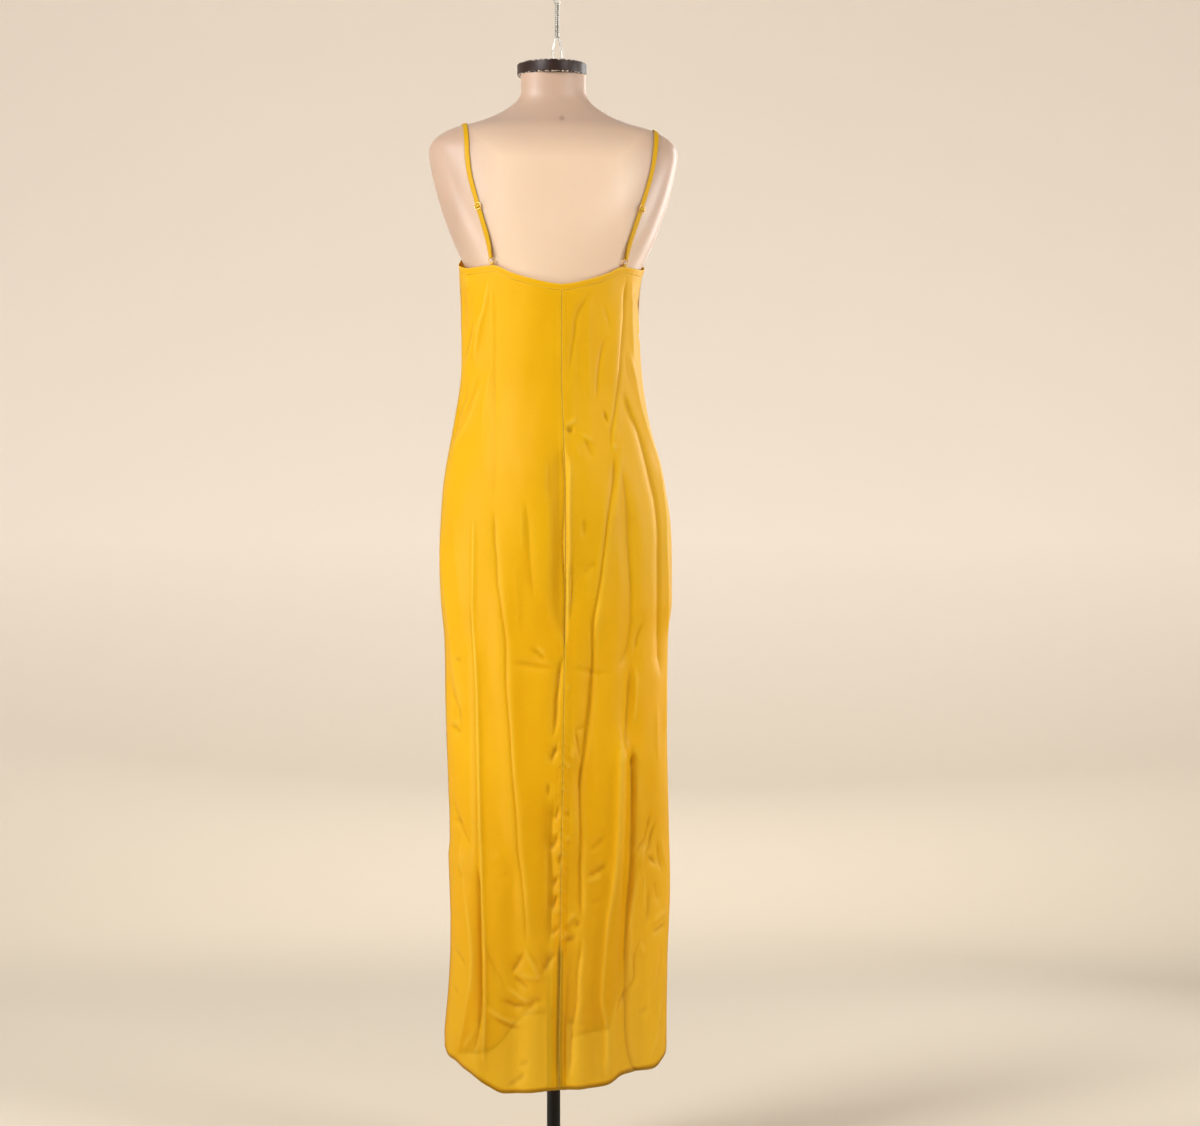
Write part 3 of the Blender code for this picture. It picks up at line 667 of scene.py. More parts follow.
def dress_normals(share, height, front):
    """Directions out of the cloth, from small steps along it both ways."""
    small, low = 1e-3, 0.25
    # A step across never leaves its own half, where the surface has its edge.
    inner = np.where(np.abs(share) > 0.5, share - np.sign(share) * small, share)
    outer = np.where(np.abs(share) > 0.5, share, share + np.where(share < 0, -small, small))
    across = dress_points(outer, height, front) - dress_points(inner, height, front)
    across *= np.where(share < 0, -1.0, 1.0)[..., None]
    up = dress_points(share, height + low, front) - dress_points(share, height - low, front)
    normal = np.cross(across, up)
    normal *= -1 if front else 1
    return normal / np.linalg.norm(normal, axis=-1, keepdims=True)



# %% [markdown]
# ## The form
#
# A limbless display form is blow-moulded: shoulders, bust, waist and hips in one smooth shell.
# The CAD gives it a table of levels; here the same levels are joined by smooth curves and many
# more sides. A small moulding dimple marks the nape. Lofting rings is simple and exact, and a
# subdivision surface would pull the shape in.

# %% The form's levels
FormLevel = namedtuple("FormLevel", "height half_width back front blunt")
FORM = table_of(
    FormLevel,
    (870, 150, 96, 92, 2),
    (875, 156, 102, 98, 2),
    (890, 159, 105, 101, 2),
    (925, 162, 110, 105, 2),
    (960, 162, 111, 106, 2),
    (1010, 158, 109, 106, 2),
    (1060, 147, 101, 104, 2),
    (1120, 130, 89, 100, 2),
    (1190, 114, 79, 94, 2),
    (1240, 115, 81, 97, 2),
    (1290, 119, 87, 104, 2),
    (1325, 122, 91, 107, 2),
    (1352, 128, 93, 105, 2),
    (1371, 137, 94, 102, 2.05),
    (1404, 152, 95, 96, 2.2),
    (1442, 166, 93, 88, 2.35),
    (1475, 176, 88, 80, 2.45),
    (1510, 184, 80, 70, 2.5),
    (1532, 187, 73, 62, 2.5),
    (1547, 183, 67, 57, 2.45),
    (1559, 171, 61, 54, 2.35),
    (1570, 149, 56, 54, 2.2),
    (1581, 111, 48, 58, 2.1),
    (1596, 77, 39, 63, 2),
    (1613, 55, 32, 67, 2),
    (1630, 49, 30, 69, 2),
    (1652, 49, 30, 70, 2),
)
FORM_SIDES = 144
FORM_BUST = 15.0
NAPE = (6.5, 1581.0)
NAPE_RADIUS = 5.0
NAPE_DEPTH = 1.6


def form_heights():
    """Levels close together where the shoulders turn over, further apart below."""
    low = np.arange(870, 880, 1.0)
    body = np.arange(880, 1500, 6.0)
    shoulder = np.arange(1500, 1600, 1.6)
    return np.concatenate([low, body, shoulder, np.arange(1600, 1652, 3.0), [1652.0]])


def make_form():
    heights = form_heights()
    turn = 2 * pi * np.arange(FORM_SIDES) / FORM_SIDES
    across, ahead = np.sin(turn)[None, :], np.cos(turn)[None, :]
    size = {
        name: from_table(FORM, "height", name, heights)[:, None]
        for name in ("half_width", "back", "front", "blunt")
    }
    power = 2 / size["blunt"]
    z = np.broadcast_to(heights[:, None], (len(heights), FORM_SIDES))
    x = size["half_width"] * np.abs(across) ** power * np.sign(across)
    front_y = size["front"] * np.abs(ahead) ** power
    front_y = front_y + bust_lift(x, z, FORM_BUST) * np.clip(ahead, 0, 1)
    back_y = -size["back"] * np.abs(ahead) ** power
    y = np.where(ahead > 0, front_y, back_y)
    reach = np.hypot(x - NAPE[0], z - NAPE[1]) / NAPE_RADIUS
    y = np.where(ahead < 0, y + NAPE_DEPTH * np.exp(-(reach**4)), y)
    points = np.stack([x, y, z], axis=-1).reshape(-1, 3)
    rows = len(heights)
    faces = [face[::-1] for face in grid_faces(rows, FORM_SIDES, closed=True)]
    faces.append(tuple(range(FORM_SIDES)))
    faces.append(tuple((rows - 1) * FORM_SIDES + k for k in range(FORM_SIDES))[::-1])
    mesh = mesh_from("form", points, faces)
    face_outwards(mesh)
    mesh.set_sharp_from_angle(angle=radians(50))
    return link_piece("form_body", mesh, [form_plastic], ["form_torso"])


form = make_form()
form_tree = BVHTree.FromObject(form, bpy.context.evaluated_depsgraph_get())
print("form:", len(form.data.polygons), "faces")

# %% [markdown]
# ## Creases
#
# Light satin creases where it is packed, pulled or sat on, and each crease has its own place and
# strength. A crease here is a path over the cloth, in millimetres across and up, with how far it
# reaches to its left and right and how far it stands out (or sinks, below zero). Its two sides
# differ, as a real one leans over. The back's paths were laid out by eye, and a separate
# converter printed them as these rounded millimetres. Some are long folds, some short crumples.

# %% Creases of the back
Crease = namedtuple("Crease", "path left right lift")
BACK_CREASES = table_of(
    Crease,
    # The deep trough just left of the centre seam, and the ridge the seam itself makes.
    ([(2, 1100), (0, 1071), (1, 1039), (-1, 986), (-3, 954), (-2, 924), (1, 869), (1, 840),
      (3, 793)], 6, 2.6, -4.6),
    ([(6, 1086), (10, 1068), (9, 1034), (8, 986), (8, 935), (6, 900), (6, 826)], 2, 3, 2.6),
    ([(12, 935), (12, 885), (10, 856), (9, 825)], 2, 2.6, -1.8),
    ([(4, 790), (-3, 774), (-7, 746), (-10, 722), (-11, 697), (-13, 678), (-19, 656)], 5, 4, -5),
    # Short slanting puckers down the seam.
    ([(-7, 656), (-20, 625)], 4.5, 3, -4.6),
    ([(-20, 599), (-22, 576)], 3, 3, -2.2),
    ([(-11, 581), (-16, 551), (-18, 499), (-16, 448), (-18, 396), (-19, 352)], 6, 5, -3.4),
    ([(-24, 517), (-23, 455), (-24, 389)], 5, 3, 1.8),
    ([(-4, 567), (-13, 539)], 4, 3.5, -4),
    ([(-5, 526), (-20, 495)], 5.5, 4, -5),
    ([(-2, 496), (-7, 473)], 3, 3, -2.8),
    ([(-7, 464), (-15, 442)], 4, 3, -3.6),
    ([(-7, 438), (-18, 407)], 4.5, 3, -4.4),
    ([(-1, 389), (-20, 373)], 4, 3, -3.8),
    ([(-6, 352), (-19, 338), (-26, 323), (-34, 314)], 6, 3.5, -5.4),
    ([(2, 386), (23, 411)], 3.5, 4.5, 3),
    ([(17, 385), (28, 395)], 2.5, 2.5, -3),
    ([(2, 364), (22, 373)], 2.5, 2.5, -3),
    ([(-4, 366), (10, 380)], 3.5, 3.5, 2.4),
    ([(3, 734), (12, 740)], 2.5, 2.5, 1.4),
    ([(3, 617), (12, 625)], 2.5, 2.5, 1.5),
    ([(2, 546), (11, 557)], 2.5, 2.5, -1.6),
    ([(2, 511), (13, 520)], 2.5, 2.5, 1.6),
    # The long fold right of the seam.
    ([(78, 1086), (77, 1042), (72, 1015), (67, 986), (63, 954), (59, 924), (56, 899), (52, 876),
      (47, 851),
      (44, 826), (45, 778), (43, 741), (41, 709), (38, 685), (33, 642), (28, 606), (27, 573), (28, 514),
      (26, 473), (27, 440), (27, 389)], 8, 3, -5),
    ([(28, 379), (26, 348), (22, 326), (20, 298), (19, 276), (16, 253), (13, 239), (12, 216), (10, 176),
      (9, 154)], 8, 2.6, -4.4),
    ([(90, 1116), (86, 1057), (82, 1012), (73, 961)], 6, 6, 1.6),
    ([(29, 631), (26, 576)], 7, 2.5, -1.4),
    ([(17, 683), (23, 656), (28, 628)], 2.5, 2.5, -3),
    ([(18, 674), (35, 681)], 2.5, 2.5, -2.2),
    ([(14, 653), (14, 628)], 3, 3, 1.6),
    ([(50, 924), (26, 901)], 4, 3.5, -1.6),
    ([(41, 924), (34, 851)], 7, 7, 0.9),
    # The next long fold to the right, and the ridge beside it.
    ([(87, 1067), (94, 1027), (97, 991), (98, 954), (101, 914), (103, 876), (103, 839),
      (101, 814), (96, 789),
      (86, 770), (79, 754)], 6, 4, -3),
    ([(103, 773), (102, 748), (100, 718), (98, 689), (97, 660), (100, 630)], 4.5, 3, -3.4),
    ([(108, 777), (113, 740), (111, 703), (105, 667)], 3, 5, 3),
    ([(112, 641), (106, 618)], 2.5, 3, -3),
    ([(130, 837), (118, 821), (112, 799), (109, 779)], 2.5, 3, -2.8),
    ([(117, 615), (115, 553)], 5, 5, 1.4),
    ([(87, 663), (86, 601), (83, 513), (78, 454), (69, 395), (63, 337), (59, 278), (65, 245), (67, 219),
      (65, 151)], 5, 15, 6),
    ([(107, 656), (108, 571), (107, 497), (105, 453), (100, 394), (98, 335), (98, 276),
      (99, 217), (106, 184),
      (131, 146)], 15, 4, -7),
    ([(117, 470), (110, 435), (105, 401), (104, 360), (103, 331), (99, 297)], 2.6, 4, 2.4),
    # The valley and the crest that run down the right side.
    ([(93, 1183), (109, 1142), (123, 1113), (132, 1080), (140, 1047), (147, 1016), (150, 991),
      (152, 950),
      (152, 865), (155, 746)], 10, 3, -5),
    ([(105, 1243), (116, 1196), (123, 1159), (135, 1122), (146, 1091), (153, 1069), (157, 1036),
      (162, 999),
      (163, 950), (165, 899), (166, 850), (166, 805), (165, 749), (162, 649)], 3, 4, 2.6),
    ([(148, 717), (148, 650), (153, 613)], 2.5, 3, 2),
    # Crumples where the right slit begins to swing.
    ([(140, 560), (134, 536), (128, 514), (117, 497), (102, 474)], 3, 3, -4),
    ([(149, 540), (140, 520), (134, 499), (121, 480)], 3, 3, -4.2),
    ([(134, 537), (129, 517), (118, 500)], 2.6, 2.6, 1.6),
    ([(141, 511), (124, 486), (122, 462)], 3, 3, 2.6),
    ([(132, 488), (147, 471)], 3.5, 3.5, -3.6),
    ([(148, 512), (151, 491), (157, 455)], 4, 4, -3.8),
    ([(154, 518), (158, 489), (168, 456)], 2.6, 2.6, 2),
    ([(122, 369), (114, 349), (111, 330), (112, 309), (100, 288), (87, 267), (76, 246)], 3, 4, -4.4),
    ([(127, 464), (124, 419), (122, 387)], 2.4, 3, 2.8),
    ([(135, 442), (132, 380)], 3, 4, -3.4),
    ([(142, 454), (154, 408)], 8, 6, -3.6),
    ([(136, 383), (168, 407)], 3, 3, 3.2),
    ([(136, 368), (169, 384)], 3, 3, -4),
    ([(119, 361), (127, 336)], 3, 4, 3),
    ([(156, 363), (156, 330), (151, 308), (146, 281)], 3, 5, -3),
    ([(114, 250), (136, 264)], 4, 4, -2),
    ([(153, 285), (151, 256), (146, 220), (135, 175)], 6, 2.6, 3.4),
    ([(163, 283), (158, 240), (151, 204)], 3.5, 3, -3),
    ([(138, 340), (135, 273), (128, 215)], 7, 7, 1.6),
    # The long narrow fold and the thin crest left of the seam.
    ([(-97, 1228), (-97, 1101), (-100, 995)], 4, 3, -0.9),
    ([(-100, 1004), (-100, 958), (-97, 924), (-96, 888), (-92, 863), (-90, 844), (-87, 826), (-84, 795),
      (-84, 751), (-82, 716), (-78, 672), (-76, 631), (-72, 582), (-69, 545), (-66, 495), (-61, 457),
      (-57, 410), (-53, 355)], 2.6, 2.4, -2.6),
    ([(-78, 719), (-73, 631), (-69, 572)], 3, 4, 0.8),
    ([(-54, 356), (-62, 340), (-69, 326), (-77, 313)], 3.5, 3.5, -4.4),
    ([(-128, 995), (-129, 865), (-128, 825), (-126, 788), (-124, 750), (-122, 678), (-121, 641),
      (-119, 567),
      (-118, 518), (-116, 481), (-116, 432), (-113, 370), (-112, 334), (-112, 285), (-113, 235),
      (-114, 198),
      (-114, 172)], 2, 2.4, 2.6),
    ([(-133, 865), (-128, 750), (-126, 640), (-123, 518), (-121, 432), (-119, 370), (-118, 285),
      (-119, 215)], 7, 1.8, -2),
    # The left side's crest, and the flat facet of the left slit.
    ([(-168, 981), (-168, 924), (-165, 887), (-161, 850), (-157, 813), (-154, 780), (-150, 749),
      (-146, 721),
      (-142, 675)], 3, 3.6, 3),
    ([(-159, 757), (-155, 726), (-148, 704), (-143, 666)], 3, 4, -3.4),
    ([(-153, 716), (-151, 683)], 4, 3.4, -1.8),
    ([(-158, 682), (-142, 666)], 3, 3, -3.2),
    ([(-154, 581), (-151, 552), (-143, 528), (-136, 513), (-126, 497)], 3, 3.6, -4),
    ([(-155, 545), (-143, 532)], 2.2, 2.2, -2.6),
    ([(-145, 520), (-141, 491), (-137, 446), (-132, 398), (-129, 361), (-128, 332), (-129, 302),
      (-133, 275),
      (-138, 242), (-145, 212), (-151, 187)], 15, 5, 7),
    ([(-123, 481), (-120, 432), (-119, 370), (-118, 284), (-123, 230), (-134, 187)], 8, 2.4, -6),
    ([(-127, 235), (-138, 207), (-145, 192)], 2.6, 3, 2.6),
    ([(-153, 353), (-144, 338), (-132, 322)], 2.5, 2.2, -2.6),
    ([(-154, 296), (-144, 279)], 2.4, 2.2, -2.2),
    ([(-145, 472), (-137, 451)], 2.5, 2.2, -2),
    ([(-151, 409), (-146, 381)], 3, 3, -1.2),
    # Crumples above the hem, left of the seam.
    ([(-111, 366), (-105, 342), (-97, 323), (-84, 300), (-73, 282)], 5, 5, -2.6),
    ([(-115, 273), (-104, 262), (-93, 254), (-79, 247), (-64, 244), (-49, 251)], 3, 3.4, 4.4),
    ([(-101, 257), (-89, 246), (-74, 239), (-56, 237)], 3.4, 3, -3.4),
    ([(-97, 278), (-81, 276), (-66, 270), (-49, 270), (-36, 273)], 4.5, 3.4, -4.6),
    ([(-54, 269), (-41, 277), (-24, 278)], 3.2, 3.2, -3.8),
    ([(-64, 257), (-52, 265), (-36, 274)], 3, 3, -3.2),
    ([(-86, 300), (-73, 291), (-59, 281), (-41, 274)], 3.4, 3.4, 3.4),
    ([(-69, 316), (-53, 313), (-27, 311)], 3, 3, 2.6),
    ([(-73, 316), (-62, 306), (-46, 293)], 3.4, 3.4, -3),
    ([(-59, 359), (-50, 343), (-39, 320), (-34, 302)], 5, 5, 3),
    ([(-52, 355), (-39, 332), (-24, 300)], 5, 5, -2),
    ([(-84, 148), (-73, 156), (-62, 164), (-52, 179)], 3, 3, -3.4),
    ([(-64, 181), (-56, 187), (-46, 193)], 3, 3, -2.4),
    ([(-28, 282), (-23, 264), (-18, 247)], 5, 5, 1.4),
    # The crease across the skirt where it was folded on its hanger.
    ([(-152, 779), (-142, 776)], 2.2, 1.8, -2),
    ([(-85, 775), (-54, 772), (-32, 769), (-6, 767)], 3.4, 1.9, -2.6),
    ([(4, 766), (30, 763), (53, 759), (84, 759)], 3.4, 2.2, -1.6),
    ([(-50, 797), (-32, 783), (-28, 774)], 2.8, 2.4, -2.4),
    ([(-40, 798), (-24, 785)], 3, 3, 1.4),
    ([(35, 493), (67, 519)], 3.6, 3.6, -2.2),
    ([(29, 457), (56, 469), (70, 481)], 3, 3.4, -3.8),
    ([(32, 449), (60, 459)], 3, 3, 1.6),
    ([(38, 418), (63, 427)], 4, 4, -1.2),
    ([(-93, 453), (-76, 469)], 5, 5, -1),
    ([(-107, 479), (-86, 498)], 5, 5, 0.9),
    # Soft waves over the hips.
    ([(-24, 1092), (-20, 1056), (-20, 995)], 5, 5, -1.7),
    ([(-56, 1015), (-52, 961), (-50, 924), (-47, 891), (-43, 866)], 5, 6, -1.9),
    ([(-61, 1012), (-60, 924)], 4, 4, 1.1),
    ([(30, 989), (30, 954)], 3.4, 3.4, -2.2),
    ([(43, 866), (47, 924), (53, 983)], 8, 8, -1),
    ([(-73, 924), (-67, 866), (-65, 807)], 6, 6, 0.9),
    ([(-154, 1014), (-151, 924), (-143, 836)], 7, 7, 1.2),
    # The fan of soft ridges below the left strap.
    ([(-104, 1349), (-110, 1298), (-114, 1284), (-120, 1247), (-124, 1207)], 2.6, 2.8, 3),
    ([(-114, 1295), (-124, 1256), (-131, 1227), (-137, 1202)], 2.6, 2.8, 2.6),
    ([(-124, 1287), (-132, 1242), (-137, 1210)], 2.4, 2.6, -3.2),
    ([(-100, 1350), (-100, 1194)], 3.4, 3, 1.2),
    ([(-94, 1309), (-96, 1131)], 3.6, 3.4, -0.9),
    ([(-110, 1197), (-120, 1166), (-127, 1143), (-136, 1122), (-148, 1099), (-155, 1066)], 3, 3.4, 2.8),
    ([(-102, 1212), (-111, 1147), (-116, 1106)], 3.4, 3.8, 1.4),
    ([(-118, 1204), (-128, 1165), (-138, 1141), (-147, 1122)], 2.6, 2.6, -2.2),
    ([(-132, 1202), (-137, 1166), (-146, 1138), (-158, 1083)], 4, 3.4, -4),
    ([(-141, 1195), (-148, 1150), (-156, 1114)], 2.6, 2.6, 1.6),
    ([(-138, 1339), (-135, 1299), (-135, 1251)], 2.4, 2.2, -2.8),
    ([(-133, 1351), (-132, 1324)], 3.4, 3.4, 2.4),
    ([(-127, 1326), (-129, 1279)], 2.8, 2.8, -1.6),
    # The bodice's right half: pulls from the strap and from the waist.
    ([(102, 1351), (100, 1320), (99, 1283), (96, 1250), (94, 1231), (91, 1201), (86, 1168), (81, 1138),
      (75, 1116), (72, 1082)], 5, 2.4, -3.8),
    ([(111, 1349), (111, 1281), (115, 1219)], 4, 6, 2.8),
    ([(123, 1313), (132, 1240), (144, 1172)], 5, 4, 1.4),
    ([(50, 1325), (33, 1303), (22, 1282), (18, 1252), (13, 1219), (11, 1192)], 3, 3.4, -2.2),
    ([(74, 1264), (64, 1244), (58, 1219), (55, 1194), (52, 1147)], 2.8, 3.2, -2.4),
    ([(63, 1308), (71, 1279), (76, 1255)], 3.4, 3.4, -1.2),
    ([(45, 1322), (41, 1263), (43, 1152)], 5, 5, 1.2),
    ([(30, 1263), (25, 1204), (25, 1160)], 4, 4, -0.8),
    ([(3, 1118), (23, 1135)], 2.8, 3.4, 3),
    ([(4, 1114), (18, 1116)], 2.8, 2.8, -3.2),
    ([(22, 1113), (52, 1095)], 3, 3.4, 1.9),
    ([(31, 1106), (46, 1073)], 4.4, 4.4, -1.9),
    ([(16, 1100), (29, 1068)], 4, 4, 0.9),
    ([(62, 1147), (71, 1125)], 2.4, 2.4, -3),
    ([(78, 1101), (78, 1083)], 2.4, 2.4, 1.8),
    ([(98, 1247), (104, 1209), (110, 1173)], 6, 4, -1.6),
    ([(109, 1327), (120, 1310)], 1.6, 1.6, -1.8),
    ([(119, 1319), (130, 1298)], 1.6, 1.6, -1.8),
    ([(125, 1269), (133, 1250)], 1.6, 1.6, -1.8),
    ([(131, 1246), (136, 1228)], 1.6, 1.6, -1.8),
    ([(133, 1225), (139, 1204)], 1.6, 1.6, -1.8),
    ([(138, 1187), (146, 1162)], 2, 2, -1),
    ([(146, 1157), (153, 1129)], 2, 2, 0.8),
    # The lower seam, drawn in like a gutter.
    ([(-4, 370), (-4, 348), (-6, 264), (-8, 154)], 3.5, 3, -2.4),
    ([(5, 355), (3, 264), (0, 159)], 3, 4, 1.6),
)

# %% [markdown]
# The front hangs from two bust points. Soft drape falls across the V, pulls run from the bust
# towards the side seams, and long folds start at the hips, as behind but no two alike.

# %% Creases of the front
FRONT_CREASES = table_of(
    Crease,
    # Soft drape across the V, and pulls below the strap points.
    ([(-50, 1352), (-24, 1318), (2, 1306), (28, 1322), (52, 1356)], 7, 9, -1.8),
    ([(-58, 1318), (-28, 1288), (4, 1278), (32, 1292), (60, 1322)], 8, 10, 1.6),
    ([(-44, 1276), (-18, 1256), (8, 1250), (36, 1262)], 7, 8, -1.5),
    ([(-86, 1404), (-80, 1372), (-74, 1344)], 5, 6, 1.5),
    ([(84, 1408), (81, 1374), (77, 1348)], 6, 5, 1.6),
    ([(-66, 1408), (-60, 1380), (-56, 1358)], 4, 5, -1.2),
    ([(68, 1402), (64, 1376)], 4, 4, -1.2),
    ([(-104, 1372), (-98, 1340), (-96, 1308)], 6, 5, -1.5),
    ([(108, 1368), (101, 1336), (98, 1300)], 5, 6, -1.7),
    # Pulls from the bust to the side seams, and the hollow under the bust.
    ([(-84, 1290), (-106, 1270), (-128, 1244)], 4, 6, -1.9),
    ([(-80, 1262), (-102, 1232), (-126, 1196)], 5, 5, 1.5),
    ([(86, 1296), (110, 1278), (122, 1258)], 6, 4, -1.7),
    ([(82, 1262), (100, 1236), (118, 1206), (128, 1184)], 5, 6, 1.7),
    ([(-70, 1270), (-64, 1230), (-66, 1180), (-72, 1120)], 8, 6, -2.2),
    ([(72, 1268), (68, 1226), (64, 1170), (66, 1100)], 6, 8, -2.4),
    ([(-36, 1240), (-30, 1180), (-36, 1110)], 7, 7, 1.4),
    ([(30, 1232), (34, 1172), (28, 1096)], 6, 8, 1.6),
    # The waist and the belly.
    ([(-118, 1186), (-92, 1170), (-66, 1168)], 4, 5, -1.4),
    ([(122, 1176), (98, 1158), (74, 1160)], 5, 4, -1.5),
    ([(-128, 1150), (-104, 1128)], 4, 4, 1.2),
    ([(-12, 1140), (-8, 1080), (-14, 1010), (-10, 930)], 8, 9, -1.6),
    ([(96, 1110), (112, 1070), (124, 1020), (130, 960)], 8, 5, -2.6),
    ([(108, 1100), (124, 1056), (136, 1000), (142, 930), (143, 860)], 4, 6, 2.2),
    ([(-98, 1120), (-114, 1076), (-124, 1010), (-128, 940)], 5, 8, -2.6),
    ([(-112, 1098), (-128, 1040), (-136, 980), (-138, 900)], 6, 4, 2),
    # Long folds down the skirt.
    ([(58, 1060), (66, 980), (62, 900), (70, 800), (64, 700), (72, 560), (66, 420),
      (74, 300)], 8, 4, -3.4),
    ([(-54, 1040), (-62, 950), (-58, 860), (-70, 740), (-64, 620), (-74, 480), (-68, 340)], 4, 9, -3.2),
    ([(20, 960), (14, 860), (22, 740), (16, 600), (26, 460), (20, 330)], 5, 7, 2.4),
    ([(-24, 900), (-30, 780), (-20, 640), (-30, 500), (-24, 360)], 6, 4, -2.6),
    ([(104, 900), (98, 780), (108, 640), (100, 500), (106, 360), (98, 240)], 4, 8, -3.2),
    ([(-104, 880), (-112, 760), (-102, 600), (-112, 440), (-104, 280)], 7, 4, -3),
    ([(136, 800), (130, 640), (138, 480), (132, 330)], 4, 4, 2.4),
    ([(-134, 820), (-140, 660), (-132, 520), (-140, 360)], 4, 5, 2.2),
    ([(44, 720), (40, 600), (48, 470)], 6, 6, -1.8),
    ([(-46, 560), (-40, 450), (-50, 300)], 5, 5, 2),
    # The crease across the skirt, and crumples towards the hem.
    ([(-96, 772), (-52, 768), (-10, 764), (30, 768)], 4, 2.5, -1.4),
    ([(40, 766), (72, 762), (104, 764)], 3.5, 2.5, -1),
    ([(-20, 790), (-8, 776), (-2, 766)], 3, 3, -1.2),
    ([(88, 560), (106, 534), (120, 512)], 4, 5, -2.4),
    ([(96, 520), (112, 494)], 4, 4, -2.2),
    ([(-122, 540), (-104, 512), (-88, 500)], 5, 4, -2.4),
    ([(-60, 410), (-38, 388), (-20, 384)], 4, 5, -2.4),
    ([(-78, 380), (-58, 356), (-34, 344)], 5, 5, 2.4),
    ([(10, 420), (26, 396), (48, 388)], 4, 4, -2.2),
    ([(60, 350), (82, 330), (108, 326)], 5, 4, 2),
    ([(18, 300), (44, 286), (62, 290)], 4, 4, -2.2),
    ([(-120, 330), (-100, 306), (-82, 300)], 4, 4, -2.4),
    ([(118, 420), (132, 396), (140, 366)], 4, 4, -2.2),
    ([(-18, 300), (-10, 276), (-14, 250)], 4, 4, 1.8),
)
print(f"creases: {len(BACK_CREASES)} behind, {len(FRONT_CREASES)} in front")

# %% How a crease moves the cloth
CREASE_TIP = 1.0
CREASE_FADE = 38.0


def crease_lift(crease, x, height):
    """How far one crease moves each point of the cloth out."""
    corners = np.array(crease.path, float)
    run = run_along(corners)
    length = run[-1]
    marks = np.linspace(0, length, max(3, int(length / 6)))
    path_x = smooth_at(marks, run, corners[:, 0])
    path_z = smooth_at(marks, run, corners[:, 1])
    margin = 4.5 * max(crease.left, crease.right)
    near = (x > path_x.min() - margin) & (x < path_x.max() + margin)
    near &= (height > path_z.min() - margin) & (height < path_z.max() + margin)
    lift = np.zeros_like(x)
    if not near.any():
        return lift
    px, pz = x[near], height[near]
    distance, side, along = np.full(px.shape, 1e9), np.ones(px.shape), np.zeros(px.shape)
    for k in range(len(marks) - 1):
        dx, dz = path_x[k + 1] - path_x[k], path_z[k + 1] - path_z[k]
        share = ((px - path_x[k]) * dx + (pz - path_z[k]) * dz) / (dx * dx + dz * dz)
        share = np.clip(share, 0, 1)
        off_x, off_z = px - path_x[k] - share * dx, pz - path_z[k] - share * dz
        off = np.hypot(off_x, off_z)
        closer = off < distance
        distance = np.where(closer, off, distance)
        side = np.where(closer, dx * off_z - dz * off_x, side)
        along = np.where(closer, marks[k] + share * (marks[k + 1] - marks[k]), along)
    strength = fade(np.minimum(along, length - along), min(0.4 * length, CREASE_FADE))
    width = np.where(side > 0, crease.right, crease.left) * (0.5 + 0.5 * strength)
    # A fold's tip is rounded by the cloth's own stiffness.
    past_tip = np.sqrt(distance**2 + CREASE_TIP**2) - CREASE_TIP
    lift[near] = crease.lift * strength * np.exp(-past_tip / width)
    return lift


def ripple_lift(x, height, seed):
    """Faint unevenness all over, since no cloth hangs perfectly smooth."""
    chance = np.random.default_rng(seed)
    total = np.zeros_like(x)
    for _ in range(16):
        wavelength = chance.uniform(22, 90)
        lean = chance.normal(0, 0.35)
        phase = chance.uniform(0, 2 * pi)
        run = (x * cos(lean) + height * sin(lean) * 0.6) / wavelength
        total += 0.0018 * wavelength * np.sin(2 * pi * run + phase)
    return total


# %% [markdown]
# ## The dress's three panels
#
# The slip has two back panels, joined down the centre back, and one front. Each is a single
# layer of cloth whose edges are turned in: 10 mm of seam allowance at the seams and 7 mm along
# the slits and the hem, held by one row of stitches. A grid of points laid over the tables
# above gives full control of every fold, which a cloth simulation wouldn't. The grid runs round
# each folded edge and back inside. Solidify then gives it a thickness, with the crepe reverse as
# its inner face.

# %% Sizes of the cloth and its turned edges
CAD_WALL = 1.2
FACE_LIFT = CAD_WALL / 2 - 0.1  # the outer face lies just inside the CAD's
SATIN_THICKNESS = 0.45
EDGE_ROLL = 0.55  # radius of a folded edge
SEAM_GAP = 0.15
SEAM_ALLOWANCE = 10.0
HEM_TURN = 7.0
STITCH_LINE = 5.0
ARC_LEVEL = 750.0  # the level of the skirt along which the cloth's width is laid out
TYPICAL_LENGTH = 1190  # of a panel, top edge to hem, which sets how many rows it has
EDGE_ROWS_LENGTH = 14  # the part of it that the closer rows at the two edges take
FINE_STEPS = [1.6, 2.6, 3.8, STITCH_LINE, 6.2, 7.4, 8.6, 10.0]


def folded_edge(gap, turn_in):
    """Distance from the edge and depth below the face, from the raw edge inside round the fold."""
    line = [(gap + turn_in * t, 2 * EDGE_ROLL) for t in (1, 0.6, 0.3)]
    for angle in (-90, -45, 0, 45, 90):
        along, out = cos(radians(angle)), sin(radians(angle))
        line.append((gap + EDGE_ROLL * (1 - along), EDGE_ROLL * (1 - out)))
    return line + [(step, 0.0) for step in FINE_STEPS]


def tucked_edge():
    """The top edge, which goes up between the two layers of its binding."""
    return [(-2.8, 0.4), (-0.9, 0.4), (0.0, 0.32), (0.8, 0.12), (1.6, 0.03), (2.6, 0.0), (4.0, 0.0)]


def arc_shares(first, last, front):
    """Shares along a level of the skirt, with the length of cloth up to each."""
    shares = np.linspace(first, last, 4001)
    line = dress_points(shares, np.full(shares.shape, ARC_LEVEL), front)
    return shares, run_along(line)


# %% Laying out a panel's grid
BACK_STEP, FRONT_STEP = 1.95, 3.0
BACK_ROW_STEP, FRONT_ROW_STEP = 3.6, 4.3


